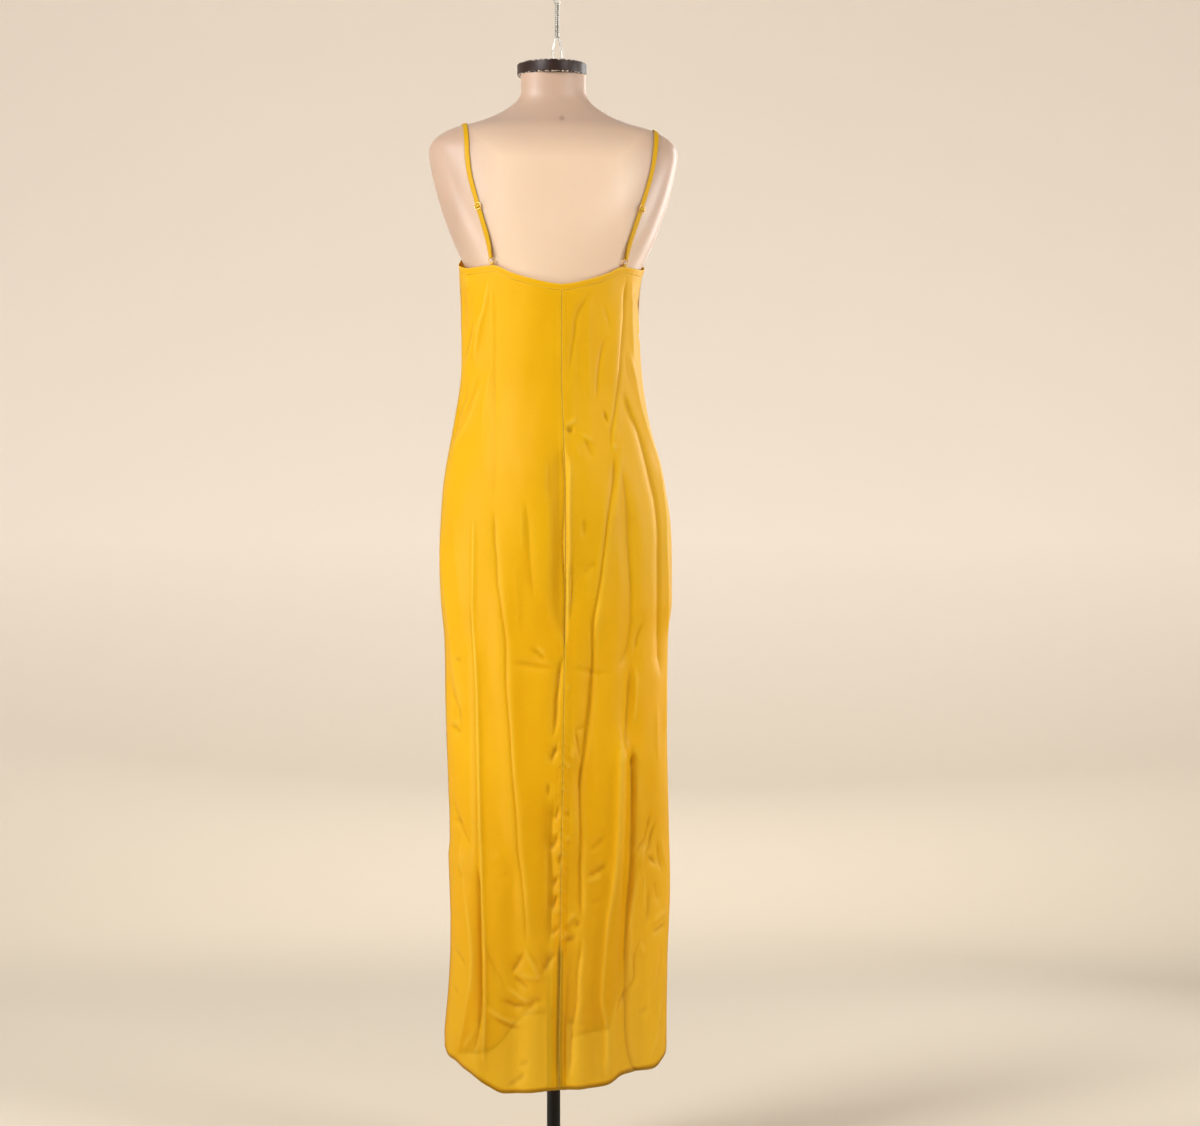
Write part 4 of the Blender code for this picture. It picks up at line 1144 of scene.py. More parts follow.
def lay_out(first, last, front, step, row_step, top, hem):
    """Columns run from the first share to the last, rows from the top edge down to the hem."""
    shares, arc = arc_shares(first, last, front)
    width = arc[-1]
    edge = folded_edge(SEAM_GAP, SEAM_ALLOWANCE)
    inner = np.linspace(10, width - 10, int((width - 20) / step))[1:-1]
    spans = [d for d, _ in edge] + list(inner) + [width - d for d, _ in reversed(edge)]
    sinks = [s for _, s in edge] + [0] * len(inner) + [s for _, s in reversed(edge)]
    spans, sinks = np.array(spans), np.array(sinks)
    share = np.interp(spans, arc, shares)
    high, low = top(share), hem(share)
    upper, lower = tucked_edge(), folded_edge(0, HEM_TURN)[::-1]
    lines, row_sinks = [high - d for d, _ in upper], [s for _, s in upper]
    count = int((TYPICAL_LENGTH - EDGE_ROWS_LENGTH) / row_step)
    for t in np.linspace(0, 1, count)[1:-1]:
        lines.append((high - 4.0) * (1 - t) + (low + 10.0) * t)
        row_sinks.append(0)
    lines += [low + d for d, _ in lower]
    row_sinks += [s for _, s in lower]
    heights = np.array(lines)
    share_grid = np.broadcast_to(share, heights.shape).copy()
    sink_grid = sinks[None, :] + np.array(row_sinks)[:, None]
    hem_distance = heights - low[None, :]
    return spans, width, share_grid, heights, sink_grid, hem_distance


# %% Relief beside seams and hems


def step_down(distance, width):
    """1 up to a width from the edge, then down to 0 over a millimetre and a half."""
    return 1 - fade(distance - width + 0.75, 1.5)


def seam_relief(distance, height, seed):
    """A pressed-open seam: its allowance shows as a faint strip, and the stitching puckers it,
    most where the skirt's weight pulls on a seam that is a little too short."""
    chance = np.random.default_rng(seed)
    strip = 0.3 * step_down(distance, 7.5)
    pull = 0.5 + 1.1 * fade(700 - height, 60) * fade(height - 360, 60)
    pucker = np.zeros_like(height)
    for pitch, depth in ((14.0, 0.34), (9.2, 0.2), (31.0, 0.25)):
        drift = 1.5 * np.sin(height / chance.uniform(40, 70) + chance.uniform(0, 6))
        pucker += depth * np.sin(2 * pi * (height + 0.7 * distance) / pitch + drift)
    return strip + pull * pucker * np.exp(-distance / 7.0)


def hem_relief(distance):
    """A turned hem: thicker for its width, with the stitches pulled down into it."""
    groove = 0.35 * np.exp(-(((distance - STITCH_LINE) / 0.9) ** 2))
    return 0.4 * step_down(distance, HEM_TURN) - groove


def painted_edge_shade(distance, line):
    """The painted shade of a turned edge: darkest at its fold, and a little at the stitch line."""
    fold = 0.95 * (1 - fade(distance - 4.0, 1.8))
    return np.maximum(fold, 0.45 * np.exp(-(((distance - line) / 0.7) ** 2)))


def side_shade(distance, height):
    """Painted shade along a side seam's three layers, seen from their edge: dark over the skirt, faint
    above.
    """
    depth = np.interp(height, [620, 700, 1180, 1260], [0.75, 0.4, 0.3, 0.0])
    return depth * (1 - fade(distance - 5.0, 3.0))


def seam_shade(distance, height, left):
    """Painted shade along the seam's line: thin at the waist, drawn in over the hips, and heavy near
    the hem.
    """
    width = np.interp(height, [345, 365, 780, 800, 1080, 1110], [4.4, 0.9, 0.9, 1.6, 1.2, 0.5])
    depth = np.interp(height, [345, 365, 780, 800, 1080, 1110], [0.75, 0.45, 0.5, 0.65, 0.6, 0.5])
    right = np.interp(height, [345, 365], [0.9, 0.35])
    return depth * (1 if left else right) * (1 - fade(distance - width, 1.1))


# %% Building a panel


SKIRT_LEAVES_FORM = 865  # below this height the skirt hangs clear of the form


def clear_of_form(points, normals, least):
    """Moves points out of the form along the cloth's own direction."""
    moved = 0
    for i, (x, y, z) in enumerate(points):
        if z < SKIRT_LEAVES_FORM:
            continue
        place = Vector((x, y, z)) * MM
        nearest, normal, _, _ = form_tree.find_nearest(place)
        gap = (place - nearest).dot(normal) / MM
        if gap < least:
            points[i] += normals[i] * (least - gap)
            moved += 1
    return moved


def make_panel(name, first, last, front, edges, creases, top, hem, seed):
    step, row_step = (FRONT_STEP, FRONT_ROW_STEP) if front else (BACK_STEP, BACK_ROW_STEP)
    spans, width, share, height, sink, from_hem = lay_out(
        first, last, front, step, row_step, top, hem
    )
    points = dress_points(share, height, front)
    normals = dress_normals(share, height, front)
    x = points[..., 0]
    lift = ripple_lift(x, height, seed)
    for crease in creases:
        lift += crease_lift(crease, x, height)
    if front:
        # The turned-under strip lies against the front, so it has no creases of its own.
        _, beyond, tucked = past_tuck(share, height)
        lift = lift * (1 - tucked * fade(beyond + 6, 6))
    in_slit = fade(SLIT_TOP + 8 - height, 16)
    relief = hem_relief(from_hem)
    layers = painted_edge_shade(from_hem, STITCH_LINE)
    if front:
        # Between its slits the front hangs in folds half doubled: they let less light through, and its
        # colour gets a little painted shade.
        layers = np.maximum(layers, 0.17 * fade(SLIT_TOP + 60 - height, 120))
    for kind, distance in zip(edges, (spans, width - spans)):
        distance = np.broadcast_to(np.abs(distance), height.shape)
        if kind == "centre":
            relief = relief + seam_relief(distance, height, 40)
            layers = np.maximum(layers, seam_shade(distance, height, first < -0.5))
        else:
            # The two sides of a side seam have to meet, so creases die out at it.
            meet = fade(distance - 1.0, 9.0)
            lift = lift * (meet * (1 - in_slit) + in_slit)
            seam = 0.6 * seam_relief(distance, height, 50 + int(first + 2 * last))
            relief = relief + seam * (1 - in_slit) + hem_relief(distance) * in_slit
            turned = painted_edge_shade(distance, STITCH_LINE) * in_slit
            layers = np.maximum(layers, turned)
            layers = np.maximum(layers, side_shade(distance, height) * (1 - in_slit))
    relief = np.clip(relief, -1.2, 1.1)
    out = FACE_LIFT - sink + relief + lift
    points = points + normals * out[..., None]
    rows, columns = height.shape
    flat = points.reshape(-1, 3).copy()
    moved = clear_of_form(flat, normals.reshape(-1, 3), SATIN_THICKNESS + 0.5)
    mesh = mesh_from(name, flat, grid_faces(rows, columns))
    lay_map(mesh, spans, height)
    shade_layers(mesh, layers)
    cloth = [satin_face, satin_reverse]
    piece = link_piece(name + "_panel", mesh, cloth, [name])
    wall = piece.modifiers.new("Cloth", "SOLIDIFY")
    wall.thickness = SATIN_THICKNESS * MM
    wall.offset = -1
    wall.material_offset = 1
    triangles = 4 * (rows - 1) * (columns - 1) + 4 * (rows + columns)
    print(f"{name}: {rows} x {columns} points, {triangles} triangles, {moved} kept off the form")
    grid = flat.reshape(rows, columns, 3)
    return piece, grid, normals, spans, width, from_hem


# %% Making the three panels


def edge_at(edge, share):
    return from_table(edge, "share", "height", np.abs(share))


def back_top(share):
    return edge_at(BACK_TOP, share)


def front_top(share):
    """The front's top edge, straight up the V and then curved down under the arm."""
    share = np.abs(share)
    low, high = FRONT_TOP[0], FRONT_TOP[1]
    straight = np.sin(share * pi / 2) / sin(FRONT_PEAK * pi / 2)
    in_vee = low.height + (high.height - low.height) * straight
    return np.where(share <= FRONT_PEAK, in_vee, edge_at(FRONT_TOP[1:], share))


def below_band(top):
    return lambda share: top(share) - BAND_DEPTH - 0.3


def front_hem(share):
    left, right = edge_at(FRONT_LEFT_HEM, share), edge_at(FRONT_RIGHT_HEM, share)
    return np.where(share < 0, left, right)


NEARLY = 1e-9
panels = {
    "back_left": make_panel(
        "back_left", -1, -NEARLY, False, ("side", "centre"), BACK_CREASES,
        below_band(back_top), lambda share: edge_at(BACK_LEFT_HEM, share), 7,
    ),
    "back_right": make_panel(
        "back_right", NEARLY, 1, False, ("centre", "side"), BACK_CREASES,
        below_band(back_top), lambda share: edge_at(BACK_RIGHT_HEM, share), 7,
    ),
    "front": make_panel(
        "front", -1, 1, True, ("side", "side"), FRONT_CREASES,
        below_band(front_top), front_hem, 11,
    ),
}

# %% [markdown]
# ## Stitching
#
# The slits and the hem are held by one row of lockstitches, and so are the bindings. A seam that
# is only drawn in a bump map vanishes when one comes close, so every stitch here is a small
# length of thread that lies on the cloth: a stretched bead, sunk a little at both ends.

# %% Stitches along a line
STITCH_PITCH = 3.0
STITCH_LENGTH = 2.3
THREAD_RADIUS = 0.3


def bead():
    """One stitch, as points and faces, lying along X with Z out of the cloth."""
    rings, sides = 5, 6
    points, faces = [(-0.5, 0, 0)], []
    for r in range(1, rings):
        angle = pi * r / rings
        for k in range(sides):
            turn = 2 * pi * k / sides
            points.append((-0.5 * cos(angle), cos(turn) * sin(angle), sin(turn) * sin(angle)))
    points.append((0.5, 0, 0))
    last = len(points) - 1
    for k in range(sides):
        after = (k + 1) % sides
        faces.append((0, 1 + after, 1 + k))
        faces.append((last, last - sides + k, last - sides + after))
        for r in range(rings - 2):
            here, above = 1 + r * sides, 1 + (r + 1) * sides
            faces.append((here + k, here + after, above + after, above + k))
    return np.array(points), faces


BEAD_POINTS, BEAD_FACES = bead()


def evenly(line, outward, pitch):
    """Points every pitch along a line, with their directions along and out of the cloth."""
    run = run_along(line)
    marks = np.arange(pitch / 2, run[-1], pitch)
    places, out = points_at(marks, run, line), points_at(marks, run, outward)
    along = points_at(marks + 0.8, run, line) - points_at(marks - 0.8, run, line)
    return places, along / np.linalg.norm(along, axis=1, keepdims=True), out


BINDING_STITCH_PITCH = 2.6
BINDING_STITCH_LENGTH = 1.9


def stitch_rows(name, rows, pitch=STITCH_PITCH, length=STITCH_LENGTH):
    """All the stitches of several lines as one piece."""
    points, faces = [], []
    for line, outward in rows:
        for place, along, out in zip(*evenly(np.array(line), np.array(outward), pitch)):
            across = np.cross(out, along)
            across /= np.linalg.norm(across)
            out = np.cross(along, across)
            size = np.array([length, THREAD_RADIUS, THREAD_RADIUS])
            start = len(points)
            shape = BEAD_POINTS * size
            placed = place + shape[:, :1] * along + shape[:, 1:2] * across + shape[:, 2:] * out
            points.extend(placed)
            faces.extend([tuple(start + i for i in face) for face in BEAD_FACES])
    piece = link_piece(name, mesh_from(name, points, faces), [sewing_thread], [])
    print(f"{name}: {len(points) // len(BEAD_POINTS)} stitches")
    return piece


def hem_lines(grid, normals, spans, width, from_hem, sides):
    """The stitch lines of a panel: up each slit, and along the hem between them."""
    face = (spans > STITCH_LINE - 0.1) & (spans < width - STITCH_LINE + 0.1)
    columns = np.flatnonzero(face)
    low = int(np.argmin(np.abs(from_hem[:, columns[0]] - STITCH_LINE) + (from_hem[:, 0] < 0.6) * 99))
    lines = [(grid[low, columns], normals[low, columns])]
    for side in sides:
        c = columns[0] if side < 0 else columns[-1]
        tall = (grid[:, c, 2] < SLIT_TOP - 2) & (np.arange(len(grid)) <= low)
        lines.append((grid[tall, c], normals[tall, c]))
    return lines


hem_stitches = {
    name: stitch_rows(name + "_hem_stitches", hem_lines(*panels[name][1:], sides))
    for name, sides in (("back_left", (-1,)), ("back_right", (1,)), ("front", (-1, 1)))
}

# %% [markdown]
# ## The bindings
#
# A strip of the same satin, cut on the bias, is folded over the raw top edge of the front and
# of the back and stitched down. Seen from outside it is a narrow, slightly rounded band. Here
# the strip is one sheet that runs up the inside, over the edge and down the outside, with its
# own raw edges folded under, just as it is sewn.

# %% The folded strip
BAND_FACE = 0.62
BAND_CLOTH = 0.3
# Depth below the top edge, and how far out of the cloth's middle, from one raw edge to the other.
BAND_PROFILE = [
    (6.0, -0.2),
    (8.0, -0.2),
    (8.7, -0.22),
    (8.95, -0.45),
    (8.7, -0.7),
    (7.5, -BAND_FACE),
    (5.0, -0.6),
    (2.5, -BAND_FACE),
    (0.9, -0.58),
    (0.25, -0.38),
    (0.0, 0.0),
    (0.25, 0.38),
    (0.9, 0.58),
    (2.2, BAND_FACE + 0.04),
    (4.0, BAND_FACE),
    (6.0, BAND_FACE),
    (7.0, 0.58),
    (7.5, 0.52),
    (8.0, 0.57),
    (8.7, 0.55),
    (8.95, 0.36),
    (8.7, 0.2),
    (8.0, 0.16),
    (6.0, 0.16),
]
BAND_STITCHES = 7.5


def make_band(name, front, top, step):
    shares, arc = arc_shares(-1, 1, front)
    ends = [0.15, 0.6, 1.4]
    spans = np.array(ends + list(np.arange(3, arc[-1] - 3, step)) + [arc[-1] - d for d in ends[::-1]])
    share = np.interp(spans, arc, shares)
    if front:
        # The V's point and the strap points are corners, so a column falls on each.
        for corner in (-FRONT_PEAK, 0.0, FRONT_PEAK):
            share[np.argmin(np.abs(share - corner))] = corner
    depth, out = np.array(BAND_PROFILE)[:, :1], np.array(BAND_PROFILE)[:, 1:]
    height = top(share)[None, :] - depth
    grid_share = np.broadcast_to(share, height.shape).copy()
    base = dress_points(grid_share, height, front)
    normals = dress_normals(grid_share, height, front)
    wave = 0.1 * np.sin(spans / 5.3) + 0.08 * np.sin(spans / 2.9 + 1) + 0.1 * np.sin(spans / 11)
    outside = np.where(out > 0.3, wave[None, :], 0)
    points = base + normals * (out + outside)[..., None]
    rows, columns = height.shape
    mesh = mesh_from(name, points.reshape(-1, 3), [f[::-1] for f in grid_faces(rows, columns)])
    lay_map(mesh, spans[None, :], run_along(np.array(BAND_PROFILE))[:, None])
    piece = link_piece(name + "_binding", mesh, [satin_face], [name])
    wall = piece.modifiers.new("Cloth", "SOLIDIFY")
    wall.thickness = BAND_CLOTH * MM
    wall.offset = -1
    line_height = top(share) - BAND_STITCHES
    line = dress_points(share, line_height, front)
    outward = dress_normals(share, line_height, front)
    line = line + outward * (0.5 + wave)[:, None]
    stitches = stitch_rows(
        name + "_stitches", [(line, outward)], BINDING_STITCH_PITCH, BINDING_STITCH_LENGTH
    )
    print(f"{name}: {rows} x {columns} points, {arc[-1]:.0f} mm long")
    return piece, stitches


back_binding, back_binding_stitches = make_band("back_band", False, back_top, 1.9)
front_binding, front_binding_stitches = make_band("front_band", True, front_top, 1.9)

# %% [markdown]
# ## Where the straps run
#
# Each strap leaves the front's point, lies over the shoulder, goes through the slider, round the
# ring and back up to the slider's bar. Its way over the form is found by casting rays at it from
# a hub inside, as a tape measure finds it by being laid on. The route then gives a point, and the
# directions along, out and across, for every millimetre of the way.

# %% The route over the shoulder
StrapPlace = namedtuple("StrapPlace", "angle left right")
STRAP_PLACES = table_of(
    StrapPlace,
    (-57, -99, 98),
    (-20, -120, 121),
    (48, -136, 145),
    (90, -135, 152),
    (124, -130, 144),
    (197, -97, 97),
)
STRAP_HUB = 1470.0
STRAP_STEPS = 36
STRAP_WIDTH = 7.5
STRAP_LIFT = 1.45
END_BLEND = 45.0
FRONT_END_LIFT = 3.6
FRONT_END_GAP = 1.2
RING_LIFT = 4.6
RING_RISE = 2.4
RING_RADIUS = 5.0


class Route:
    """A strap's way over the form: s runs from the ring's middle, over the shoulder, to the front."""

    def __init__(self, points, outward):
        self.points = np.array([tuple(p) for p in points])
        self.outward = np.array([tuple(n) for n in outward])
        self.s = run_along(self.points)
        self.length = float(self.s[-1])

    def sample(self, table, s):
        return Vector([float(np.interp(s, self.s, table[:, axis])) for axis in range(3)])

    def frame(self, s):
        """The point on the form, and the directions along, out and across there."""
        inside = min(max(s, 0), self.length)
        along = self.sample(self.points, inside + 3) - self.sample(self.points, inside - 3)
        along.normalize()
        out = self.sample(self.outward, inside)
        out = (out - along * out.dot(along)).normalized()
        point = self.sample(self.points, inside) + along * (s - inside)
        return point, along, out, along.cross(out)


def smoothed(vectors):
    rows = np.array([tuple(v) for v in vectors])
    for _ in range(6):
        rows[1:-1] = (rows[:-2] + 2 * rows[1:-1] + rows[2:]) / 4
    return [Vector(row).normalized() for row in rows]


def strap_hits(side):
    """Points of the form under a strap, from behind it to its front, and their directions out."""
    first, last = STRAP_PLACES[0].angle, STRAP_PLACES[-1].angle
    hits, normals = [], []
    for k in range(STRAP_STEPS + 1):
        angle = first + (last - first) * k / STRAP_STEPS
        x = float(from_table(STRAP_PLACES, "angle", "left" if side < 0 else "right", angle))
        ray = Vector((0, -cos(radians(angle)), sin(radians(angle))))
        hit, normal, _, _ = form_tree.ray_cast(Vector((x, 0, STRAP_HUB)) * MM, ray)
        hits.append(hit / MM)
        normals.append(normal)
    return hits, smoothed(normals)


def laid_over(hits, normals):
    """The hits raised until a flat strap through them touches the form without cutting it."""
    draft = Route(hits, normals)
    tests = 4 * STRAP_STEPS
    sunk = []
    for k in range(tests + 1):
        point, _, _, across = draft.frame(draft.length * k / tests)
        deepest = 0.0
        for t in (-1, 0, 1):
            place = (point + across * STRAP_WIDTH / 2 * t) * MM
            nearest, normal, _, _ = form_tree.find_nearest(place)
            deepest = max(deepest, -(place - nearest).dot(normal) / MM)
        sunk.append(deepest)
    places = draft.length * np.arange(tests + 1) / tests
    raised = []
    for s, hit, normal in zip(draft.s, hits, normals):
        near = np.abs(places - s) < draft.length / STRAP_STEPS * 1.3
        raised.append(hit + normal * float(np.max(np.array(sunk)[near])))
    return raised


def dress_place(side, share, height, front):
    return Vector(dress_points(np.array([side * share]), np.array([float(height)]), front)[0])


def strap_route(side):
    """The way over the form, drawn at each end to the dress's own strap points."""
    hits, normals = strap_hits(side)
    hits = laid_over(hits, normals)
    anchor = dress_place(side, BACK_PEAK, BACK_TOP_PEAK, False)
    up = (hits[4] + normals[4] * RING_LIFT - anchor).normalized()
    ring_middle = anchor + up * (RING_RISE + RING_RADIUS)
    front_end = dress_place(side, FRONT_PEAK, FRONT_TOP_PEAK + FRONT_END_GAP, True)
    ring_pull = ring_middle - (hits[0] + normals[0] * RING_LIFT)
    front_pull = front_end - (hits[-1] + normals[-1] * FRONT_END_LIFT)
    draft = Route(hits, normals)
    points = []
    for s, hit in zip(draft.s, hits):
        near_ring = float(1 - fade(s, END_BLEND))
        near_front = float(1 - fade(draft.length - s, END_BLEND))
        points.append(hit + ring_pull * near_ring + front_pull * near_front)
    return Route(points, normals)


routes = {"left": strap_route(-1), "right": strap_route(1)}
for word, route in routes.items():
    print(f"{word} strap's route: {route.length:.0f} mm")

# %% [markdown]
# ## The straps and their tabs
#
# A spaghetti strap is a tube of bias satin, turned right side out and pressed flat. So its
# section is a flat oval with full, soft edges, and it wrinkles a little where it bends. It is
# lofted here along the stations of its route, with the section turned to the strap's own bend.

# %% The strap's stations
SLIDER_UP = 82.0
SLIDER_LIFT = 3.4
SLIDER_BAR = 1.1
SLIDER_BAR_PITCH = 4.2
SLOT_FAR = 3.3
SLOT_NEAR = 0.9
LOOP_RADIUS = 1.65
LOOP_WIDTH = 4.8
LOOP_BLEND = 11.0
TAB_WIDTH = 6.0
TAB_FOOT_GAP = 1.2
STRAP_CLOTH = 0.96

# s along the route, lift off the form, width, and how far its edges follow the ring's round wire
Station = namedtuple("Station", "s lift width curl")


def strap_stations(route):
    """From the front end over the shoulder, through the slider and the ring, and back up."""
    over = LOOP_RADIUS - 0.3
    bar = SLIDER_BAR_PITCH
    after_slider = SLIDER_UP + 3 * bar
    stations = []
    steps = 24
    for k in range(steps + 1):
        s = route.length + (after_slider - route.length) * k / steps
        near_front = float(1 - fade(route.length - s, END_BLEND))
        lift = STRAP_LIFT + (FRONT_END_LIFT - STRAP_LIFT) * near_front
        stations.append(Station(s, lift, STRAP_WIDTH, 0))
    stations += [
        Station(SLIDER_UP + bar, SLIDER_LIFT - over, STRAP_WIDTH, 0),
        Station(SLIDER_UP + SLOT_FAR, SLIDER_LIFT - over, STRAP_WIDTH, 0),
        Station(SLIDER_UP + SLOT_NEAR, SLIDER_LIFT + over, STRAP_WIDTH, 0),
        Station(SLIDER_UP - SLOT_NEAR, SLIDER_LIFT + over, STRAP_WIDTH, 0),
        Station(SLIDER_UP - SLOT_FAR, SLIDER_LIFT - over, STRAP_WIDTH, 0),
        Station(SLIDER_UP - bar, SLIDER_LIFT - over, STRAP_WIDTH, 0),
        Station(SLIDER_UP - 2 * bar, 2.2, STRAP_WIDTH, 0),
        Station(60, 2.4, STRAP_WIDTH, 0),
        Station(40, 2.6, STRAP_WIDTH, 0),
        Station(RING_RADIUS + 2 * LOOP_BLEND, 3.4, STRAP_WIDTH, 0),
        Station(RING_RADIUS + LOOP_BLEND, 4.7, 6.6, 0.2),
        Station(RING_RADIUS + 0.4 * LOOP_BLEND, 5.8, 5.4, 0.7),
    ]
    bend = 8
    for k in range(bend + 1):
        turn = pi * k / bend
        s = RING_RADIUS - LOOP_RADIUS * sin(turn)
        stations.append(Station(s, RING_LIFT + LOOP_RADIUS * cos(turn), LOOP_WIDTH, 1))
    stations += [
        Station(RING_RADIUS + 0.4 * LOOP_BLEND, 2.9, 5.4, 0.7),
        Station(RING_RADIUS + LOOP_BLEND, 2.5, 6.6, 0.2),
        Station(RING_RADIUS + 2 * LOOP_BLEND, 1.7, STRAP_WIDTH, 0),
        Station(40, 1.2, STRAP_WIDTH, 0),
        Station(60, 1.1, STRAP_WIDTH, 0),
        Station(SLIDER_UP - 2 * bar, 0.95, STRAP_WIDTH, 0),
        Station(SLIDER_UP - bar, 0.85, STRAP_WIDTH, 0),
        Station(SLIDER_UP - 2, 1.6, STRAP_WIDTH, 0),
    ]
    return stations


# %% Lofting a strap
SECTION_POINTS = 16


def ring_sag(reach):
    """How far the ring's round wire falls back from its top, at a distance across it."""
    return RING_RADIUS - np.sqrt(RING_RADIUS**2 - np.minimum(reach, LOOP_WIDTH / 2) ** 2)


def strap_section():
    """A flat oval: across from -1 to 1, and out from -1 to 1."""
    angle = 2 * pi * np.arange(SECTION_POINTS) / SECTION_POINTS
    across = np.sign(np.cos(angle)) * np.abs(np.cos(angle)) ** 0.8
    out = np.sign(np.sin(angle)) * np.abs(np.sin(angle)) ** 0.7
    return across, out


def loft_strap(name, route, stations, step, replaced, drop_sign, seed):
    """A pressed tube through the stations, each moved to where the route puts it."""
    rows = np.array(stations, float)
    centres, alongs, acrosses = [], [], []
    for s, lift, _, _ in rows:
        point, along, out, across = route.frame(s)
        centres.append(point + out * lift)
        alongs.append(along)
        acrosses.append(across)
    centres, alongs, acrosses = np.array(centres), np.array(alongs), np.array(acrosses)
    run = run_along(centres)
    marks = np.linspace(0, run[-1], int(run[-1] / step))

    def along_run(table):
        return np.stack([smooth_at(marks, run, table[:, i]) for i in range(3)], axis=-1)

    centre, along, across = along_run(centres), along_run(alongs), along_run(acrosses)
    width, curl = smooth_at(marks, run, rows[:, 2]), smooth_at(marks, run, rows[:, 3])
    across /= np.linalg.norm(across, axis=1, keepdims=True)
    tangent = np.gradient(centre, marks, axis=0)
    outward = np.cross(across, tangent)
    outward /= np.linalg.norm(outward, axis=1, keepdims=True)
    chance = np.random.default_rng(seed)
    phase = chance.uniform(0, 6, 4)
    puff = 1 + 0.14 * np.sin(marks / 7.0 + phase[0]) + 0.1 * np.sin(marks / 3.1 + phase[1])
    sway = 0.16 * np.sin(marks / 17.0 + phase[2]) + 0.1 * np.sin(marks / 6.0 + phase[3])
    ends = fade(np.minimum(marks, run[-1] - marks), 12.0)
    section_across, section_out = strap_section()
    reach = section_across[None, :] * (width / 2 + sway * ends)[:, None]
    swell = 1 + (puff - 1)[:, None] * ends[:, None] * section_across[None, :]
    thick = section_out[None, :] * STRAP_CLOTH / 2 * swell
    sag = curl[:, None] * ring_sag(np.abs(reach))
    points = centre[:, None] + across[:, None] * reach[..., None]
    points = points + outward[:, None] * thick[..., None] + drop_sign * along[:, None] * sag[..., None]
    count = len(marks)
    faces = grid_faces(count, SECTION_POINTS, closed=True)
    faces.append(tuple(range(SECTION_POINTS))[::-1])
    faces.append(tuple((count - 1) * SECTION_POINTS + k for k in range(SECTION_POINTS)))
    mesh = mesh_from(name, points.reshape(-1, 3), faces)
    face_outwards(mesh)
    # The strap, and its edges most, get painted shade through the layers attribute, which also lets
    # less light through.
    edge = 0.25 + 0.4 * np.abs(section_across) ** 3
    edges = np.broadcast_to(edge, (count, SECTION_POINTS)).ravel()
    shade_layers(mesh, edges)
    round_it = np.cumsum(np.ones(SECTION_POINTS)) * 2 * STRAP_WIDTH / SECTION_POINTS
    lay_map(mesh, round_it[None, :], marks[:, None])
    piece = link_piece(name, mesh, [satin_face], replaced)
    print(f"{name}: {run[-1]:.0f} mm of strap, {len(mesh.polygons)} faces")
    return piece


def tab_stations():
    """The short loop sewn into the binding: up behind the ring's wire and down before it."""
    foot, leg = -RING_RADIUS - RING_RISE + TAB_FOOT_GAP, 0.65
    half = foot / 2 - RING_RADIUS / 2
    stations = [Station(foot, leg, TAB_WIDTH, 0), Station(half, 1.3, 5.4, 0.6)]
    for k in range(9):
        turn = pi * k / 8
        rise = LOOP_RADIUS * sin(turn) - RING_RADIUS
        stations.append(Station(rise, LOOP_RADIUS * cos(turn), LOOP_WIDTH, 1))
    stations += [Station(half, -1.3, 5.4, 0.6), Station(foot, -leg, TAB_WIDTH, 0)]
    return [station._replace(lift=station.lift + RING_LIFT) for station in stations]


straps, tabs = {}, {}
for word, route in routes.items():
    straps[word] = loft_strap(
        "spaghetti_strap_" + word, route, strap_stations(route), 1.2,
        ["strap_" + word], -1, 21 if word == "left" else 22,
    )

for word, route in routes.items():
    tabs[word] = loft_strap(
        "ring_tab_" + word, route, tab_stations(), 0.5,
        ["strap_tab_" + word], 1, 31 if word == "left" else 32,
    )

# %% [markdown]
# ## Rings and sliders
#
# The rings are plain gilt wire, butted and plated. The sliders are die cast: a flat frame with a
# bar across its middle, its edges rounded by tumbling. Both keep the CAD's places and sizes. The
# slider is a flat curve with a small bevel, which rounds every edge at once.

# %% Rings and sliders
RING_WIRE = 0.7
SLIDER_WIDTH = 10.4
SLIDER_ROUNDING = 0.22


def local_frame(middle, across, along, out):
    turn = Matrix((across, along, out)).transposed().to_4x4()
    return Matrix.Translation(middle * MM) @ turn


def make_ring(word, route):
    point, along, out, across = route.frame(0)
    middle = point + out * RING_LIFT
    around, thick = 64, 16
    points = []
    for i in range(around):
        turn = 2 * pi * i / around
        spoke = across * cos(turn) + along * sin(turn)
        for k in range(thick):
            roll = 2 * pi * k / thick
            reach = RING_RADIUS + RING_WIRE * cos(roll)
            points.append(middle + spoke * reach + out * (RING_WIRE * sin(roll)))
    faces = []
    for i in range(around):
        for k in range(thick):
            j, m = (i + 1) % around, (k + 1) % thick
            faces.append((i * thick + k, j * thick + k, j * thick + m, i * thick + m))
    mesh = mesh_from("ring", points, faces)
    return link_piece("gilt_ring_" + word, mesh, [gilt], ["ring_" + word])


def add_outline(curve, half_width, half_height, middle, corner):
    """A rectangle with rounded corners, as one closed line of a flat curve."""
    spline = curve.splines.new("POLY")
    outline = []
    for quarter in range(4):
        sx, sy = ((1, -1), (1, 1), (-1, 1), (-1, -1))[quarter]
        for k in range(6):
            turn = radians(quarter * 90 - 90 + k * 18)
            x = sx * (half_width - corner) + corner * cos(turn)
            y = sy * (half_height - corner) + corner * sin(turn)
            outline.append((x, y))
    spline.points.add(len(outline) - 1)
    for target, (x, y) in zip(spline.points, outline):
        target.co = (x * MM, (middle + y) * MM, 0, 1)
    spline.use_cyclic_u = True


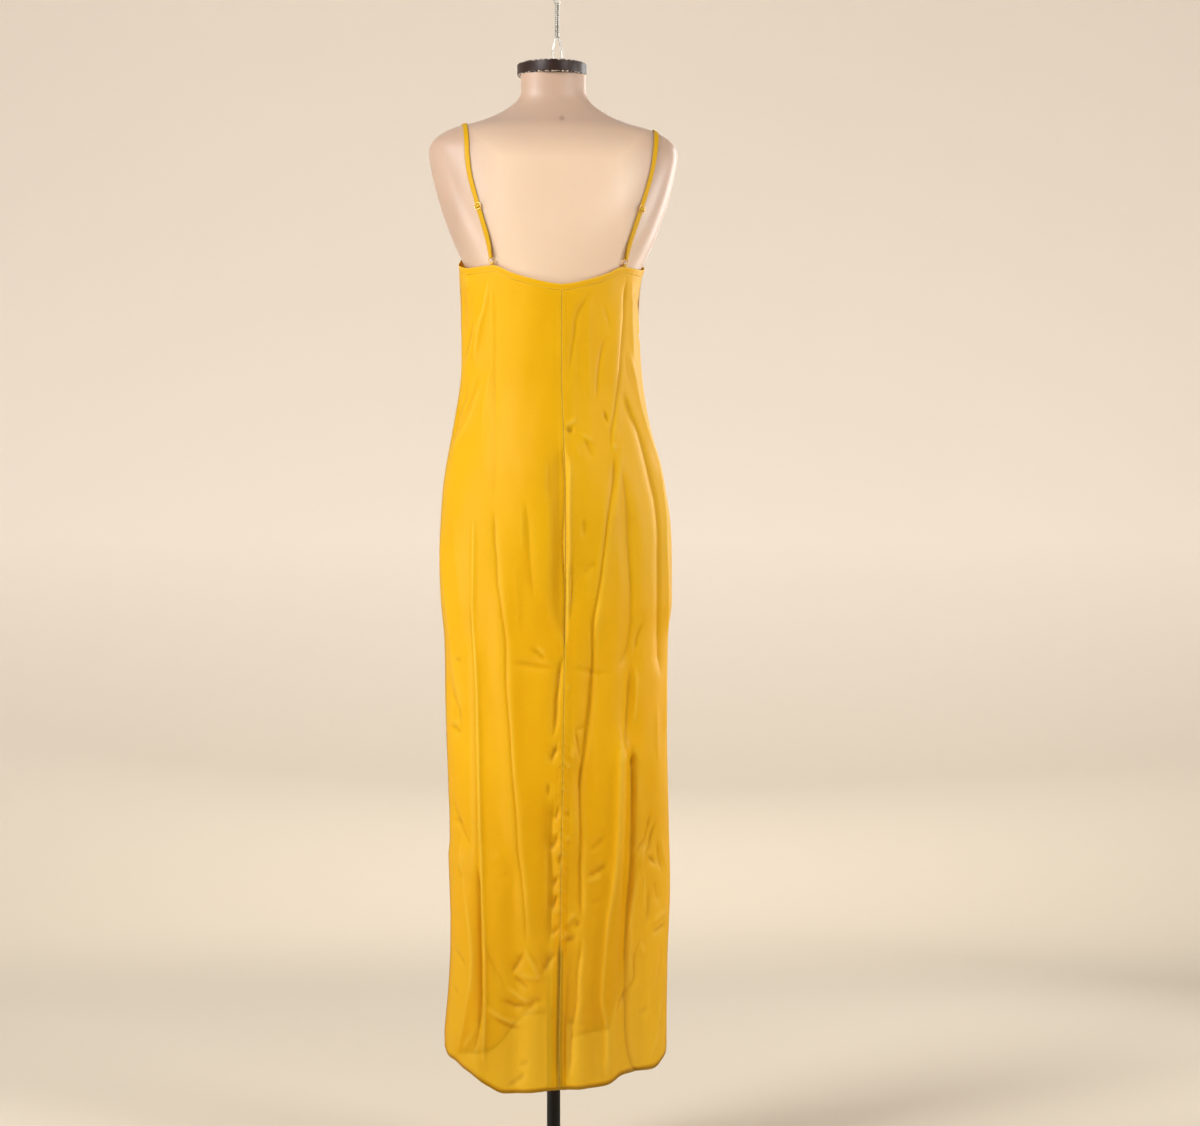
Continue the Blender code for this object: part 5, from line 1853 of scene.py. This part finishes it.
def make_slider(word, route):
    curve = bpy.data.curves.new("slider", "CURVE")
    curve.dimensions = "2D"
    curve.fill_mode = "BOTH"
    curve.extrude = (SLIDER_BAR / 2 - SLIDER_ROUNDING) * MM
    curve.bevel_depth = SLIDER_ROUNDING * MM
    curve.bevel_resolution = 3
    curve.offset = -SLIDER_ROUNDING * MM
    slot_half_height = (SLIDER_BAR_PITCH - SLIDER_BAR) / 2
    slot_half_width = SLIDER_WIDTH / 2 - SLIDER_BAR + 0.1
    add_outline(curve, SLIDER_WIDTH / 2, SLIDER_BAR_PITCH + SLIDER_BAR / 2, 0, 1.3)
    for side in (-1, 1):
        middle = side * SLIDER_BAR_PITCH / 2
        add_outline(curve, slot_half_width, slot_half_height, middle, 0.5)
    name = "gilt_slider_" + word
    slider = link_piece(name, curve, [gilt], ["slider_" + word])
    point, along, out, across = route.frame(SLIDER_UP)
    slider.matrix_world = local_frame(point + out * SLIDER_LIFT, across, along, out)
    return slider


rings = {word: make_ring(word, route) for word, route in routes.items()}
sliders = {word: make_slider(word, route) for word, route in routes.items()}
for word in routes:
    print("fittings:", rings[word].name, sliders[word].name)

# %% [markdown]
# ## Neck cap, hanging wire and stand
#
# The cap is a turned oval disc that closes the neck. Its rims are eased, so they catch the light
# and its enamel has chipped there. A wire is bent into an eye, its two legs twisted together and
# set into the cap. The pole and the round foot plate are powder coated.

# %% The neck cap
CAP_HALF_WIDTH = 52.5
CAP_HALF_DEPTH = 57.0
CAP_HEIGHT = 19.0
CAP_EASE = 3.0
NECK_TOP = 1652.0
NECK_FORWARD = 20.0
CAD_GAP = 0.3


def turned_profile(height, ease, steps):
    """From the middle of the underside, round both rims, to the middle of the top: how far in
    from the rim, and how high."""
    profile = [(None, 0.0), (ease * 4, 0.0)]
    for k in range(steps + 1):
        turn = pi / 2 * k / steps
        profile.append((ease * (1 - sin(turn)), ease * (1 - cos(turn))))
    profile.append((0.25, height * 0.5))
    for k in range(steps + 1):
        turn = pi / 2 * k / steps
        profile.append((ease * (1 - cos(turn)), height - ease * (1 - sin(turn))))
    return profile + [(ease * 4, height), (None, height)]


def make_turned(name, radii, profile, middle, sides, material, replaced):
    """A turned piece, round or oval, from its profile."""
    points, faces = [], []
    for inset, height in profile:
        for k in range(sides):
            turn = 2 * pi * k / sides
            share = 0.02 if inset is None else 1
            back = 0 if inset is None else inset
            x = (radii[0] * share - back * share) * cos(turn)
            y = (radii[1] * share - back * share) * sin(turn)
            points.append((middle[0] + x, middle[1] + y, middle[2] + height))
    rows = len(profile)
    faces = [face[::-1] for face in grid_faces(rows, sides, closed=True)]
    faces.append(tuple(range(sides))[::-1])
    faces.append(tuple((rows - 1) * sides + k for k in range(sides)))
    mesh = mesh_from(name, points, faces)
    return link_piece(name, mesh, [material], replaced)


neck_cap = make_turned(
    "turned_neck_cap", (CAP_HALF_WIDTH, CAP_HALF_DEPTH), turned_profile(CAP_HEIGHT, CAP_EASE, 6),
    (0, NECK_FORWARD, NECK_TOP + CAD_GAP), 128, cap_enamel, ["neck_cap"],
)
print("neck cap:", len(neck_cap.data.polygons), "faces")

# %% The hanging wire
WIRE_RADIUS = 1.5
WIRE_LEG_GAP = 14.0
WIRE_X = 8.0
WIRE_TWIST_RADIUS = 2.4
WIRE_TWIST_FOOT = 1712.0
WIRE_TWIST_HEAD = 1762.0
WIRE_TWIST_TURNS = 8.5
WIRE_EYE_RADIUS = 8.0


def wire_points():
    """Up one leg, twisted round the other, once round the eye and down again."""
    foot = NECK_TOP + CAD_GAP + CAP_HEIGHT + CAD_GAP
    steps = 220
    rising = [(WIRE_LEG_GAP / 2, 0, foot + up) for up in (0, 8, 16, 22)]
    for k in range(steps + 1):
        t = k / steps
        turn = 2 * pi * WIRE_TWIST_TURNS * t
        x, y = WIRE_TWIST_RADIUS * cos(turn), WIRE_TWIST_RADIUS * sin(turn)
        height = WIRE_TWIST_FOOT + (WIRE_TWIST_HEAD - WIRE_TWIST_FOOT) * t
        rising.append((x, y, height))
    eye = []
    side = cos(2 * pi * WIRE_TWIST_TURNS)
    for k in range(37):
        turn = radians(-60 + 300 * k / 36)
        x, up = side * WIRE_EYE_RADIUS * cos(turn), WIRE_EYE_RADIUS * sin(turn)
        eye.append((x, 0, WIRE_TWIST_HEAD + WIRE_EYE_RADIUS + 5 + up))
    falling = [(-x, -y, height) for x, y, height in reversed(rising)]
    return rising + eye + falling


def rounded_line(points, step):
    """A line through the points at even steps, its corners rounded a little."""
    rows = np.array(points, float)
    run = run_along(rows)
    marks = np.linspace(0, run[-1], int(run[-1] / step))
    line = points_at(marks, run, rows)
    for _ in range(5):
        line[1:-1] = (line[:-2] + 2 * line[1:-1] + line[2:]) / 4
    return line


def make_wire():
    curve = bpy.data.curves.new("wire", "CURVE")
    curve.dimensions = "3D"
    curve.bevel_depth = WIRE_RADIUS * MM
    curve.bevel_resolution = 4
    curve.use_fill_caps = True
    line = rounded_line(wire_points(), 0.8)
    spline = curve.splines.new("POLY")
    spline.points.add(len(line) - 1)
    for target, (x, y, height) in zip(spline.points, line):
        target.co = ((WIRE_X + x) * MM, (NECK_FORWARD + y) * MM, height * MM, 1)
    return link_piece("twisted_wire", curve, [bright_wire], ["hanging_loop"])


twisted_wire = make_wire()
print("wire:", len(twisted_wire.data.splines[0].points), "points")

# %% The pole and the foot plate
POLE_RADIUS = 10.0
BASE_RADIUS = 175.0
BASE_THICKNESS = 6.0
BASE_EASE = 1.5

pole_height = FORM[0].height - CAD_GAP - BASE_THICKNESS - CAD_GAP
pole = make_turned(
    "pole_tube", (POLE_RADIUS, POLE_RADIUS),
    [(None, 0.0), (0.5, 0.0), (0, 0.5)]
    + [(0, pole_height * k / 60 + 0.5) for k in range(1, 60)]
    + [(0, pole_height - 0.5), (0.5, pole_height), (None, pole_height)],
    (0, 0, BASE_THICKNESS + CAD_GAP), 48, black_steel, ["pole"],
)
foot_plate = make_turned(
    "foot_plate", (BASE_RADIUS, BASE_RADIUS), turned_profile(BASE_THICKNESS, BASE_EASE, 5),
    (0, 0, 0), 160, black_steel, ["base"],
)
print("stand:", pole.name, foot_plate.name)

# %% [markdown]
# ## The cloth pieces
#
# The panels and the bindings are sheets of cloth. Their flat sizes are estimates of the pattern
# pieces as cut.

# %% The cloth pieces
print("cloth pieces: three panels and two bindings")

# %% [markdown]
# ## The studio
#
# A photographer's cove: a round floor that curves up into a pale wall, so that there is no
# corner and no horizon. It is far larger than the object, and lets a camera go all the way round.

# %% Floor and wall
FLOOR_RADIUS = 3.4
WALL_RADIUS = 7.6
WALL_HEIGHT = 7.0


def make_backdrop_paint():
    material = new_material("matt backdrop paint")
    at = add_node(material, "TexCoord").outputs["Object"]
    cloud = noise(material, at, 0.6, 2.0)
    wall = blend_colours(material, cloud, "#E2DAD0", "#E6DED4")
    # The floor and the foot of the wall get painted shade: the paint is greyer towards the bottom.
    height = add_node(material, "SeparateXYZ", {"Vector": at}).outputs["Z"]
    up = spread(material, height, 0.0, 1.0, 0.0, 1.0)
    paint = blend_colours(material, up, "#C4BAAA", wall)
    # Backdrop paint has no gloss at all, so a plain diffuse shader is enough, and quick.
    shader = {"Color": paint, "Roughness": 0.9}
    return finish_material(material, add_node(material, "BsdfDiffuse", shader))


def make_cove():
    profile = [(0.0, 0.0)] + [(FLOOR_RADIUS * t, 0.0) for t in (0.1, 0.4, 0.7, 1.0)]
    bend = WALL_RADIUS - FLOOR_RADIUS
    for k in range(1, 25):
        turn = pi / 2 * k / 24
        profile.append((FLOOR_RADIUS + bend * sin(turn), bend * (1 - cos(turn))))
    profile.append((WALL_RADIUS, WALL_HEIGHT))
    sides = 96
    points = [
        (r * cos(2 * pi * k / sides), r * sin(2 * pi * k / sides), h)
        for r, h in profile[1:]
        for k in range(sides)
    ]
    faces = grid_faces(len(profile) - 1, sides, closed=True)
    faces.append(tuple(range(sides)))
    cove = mesh_from("cove", np.array(points) / MM, [face[::-1] for face in faces])
    cove.materials.append(make_backdrop_paint())
    thing = bpy.data.objects.new("studio_cove", cove)
    scene.collection.objects.link(thing)
    thing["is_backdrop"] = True
    return thing


cove = make_cove()
print("cove:", len(cove.data.polygons), "faces")

# %% [markdown]
# ## Light and camera
#
# Soft light for cloth: a large key from the upper left of the dress's back with a small bounce
# below it, a weaker fill from its right, a tall strip at each side and a rim light from the
# front's right that draw the bright edges of shoulders and sides. A wide light in front shines
# through the thin cloth, an overhead and a glow light the wall, and six washes light it all round.

# %% Lights


def add_light(name, place, target, size, power, tint="#FFFFFF"):
    light = bpy.data.lights.new(name, "AREA")
    light.shape = "RECTANGLE"
    light.size, light.size_y = size
    light.energy = power
    light.color = colour(tint)[:3]
    lamp = bpy.data.objects.new(name, light)
    scene.collection.objects.link(lamp)
    lamp.location = place
    lamp.rotation_euler = (Vector(target) - Vector(place)).to_track_quat("-Z", "Y").to_euler()
    lamp.visible_camera = False
    return lamp


MIDDLE = (0, 0, 0.95)
add_light("key", (-2.2, -1.9, 2.9), (0, 0, 1.6), (1.2, 1.5), 88)
add_light("key bounce", (-2.1, -1.9, 1.55), (0, 0, 1.4), (0.3, 0.5), 6)
add_light("fill", (2.1, -2.6, 2.6), (0, 0, 1.4), (0.9, 1.2), 36)
add_light("left strip", (-2.5, -0.5, 0.8), (0, 0, 0.7), (0.4, 1.3), 27)
add_light("right strip", (2.4, -0.5, 1.4), (0, 0, 1.2), (0.3, 1.0), 26)
add_light("rim", (1.9, 1.3, 1.6), (0, 0, 1.3), (0.4, 1.6), 26)
add_light("overhead", (0.0, 1.8, 4.4), MIDDLE, (2.6, 2.6), 7)
add_light("wall glow", (0.5, 2.4, 2.4), (0.95, 6.8, 1.9), (2.4, 1.6), 44, "#FFF6E8")
add_light("front fill", (0.8, 4.2, 2.2), MIDDLE, (2.4, 2.2), 62)
WASHES = 6
for k in range(WASHES):
    angle = 2 * pi * (k + 0.5) / WASHES
    x, y = cos(angle), sin(angle)
    place, target = (3.4 * x, 3.4 * y, 5.0), (7.0 * x, 7.0 * y, 2.0)
    add_light(f"wall wash {k + 1}", place, target, (2.4, 1.2), 70 if y > 0 else 24)

world = bpy.data.worlds.new("studio")
scene.world = world
world.use_nodes = True
background = world.node_tree.nodes["Background"]
background.inputs["Color"].default_value = colour("#FFFAF4")
background.inputs["Strength"].default_value = 0.15
scene.view_settings.view_transform = "Standard"

# %% Camera
CAMERA_PLACE = (-0.613, -4.862, 0.92)
CAMERA_TURN = -8
CAMERA_LENS = 98.01
camera_data = bpy.data.cameras.new("camera")
camera_data.sensor_width = 36
camera_data.lens = CAMERA_LENS
camera_data.clip_end = 60
camera = bpy.data.objects.new("camera", camera_data)
scene.collection.objects.link(camera)
camera.location = CAMERA_PLACE
camera.rotation_euler = (radians(90), 0, radians(CAMERA_TURN))
scene.camera = camera
print("camera:", [round(v, 3) for v in camera.location])

# %% Sizes and the end
size = {"cad": cad_box, "visual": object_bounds()}
size = {name: [[float(v) for v in corner] for corner in box] for name, box in size.items()}
print("visual box:", size["visual"])
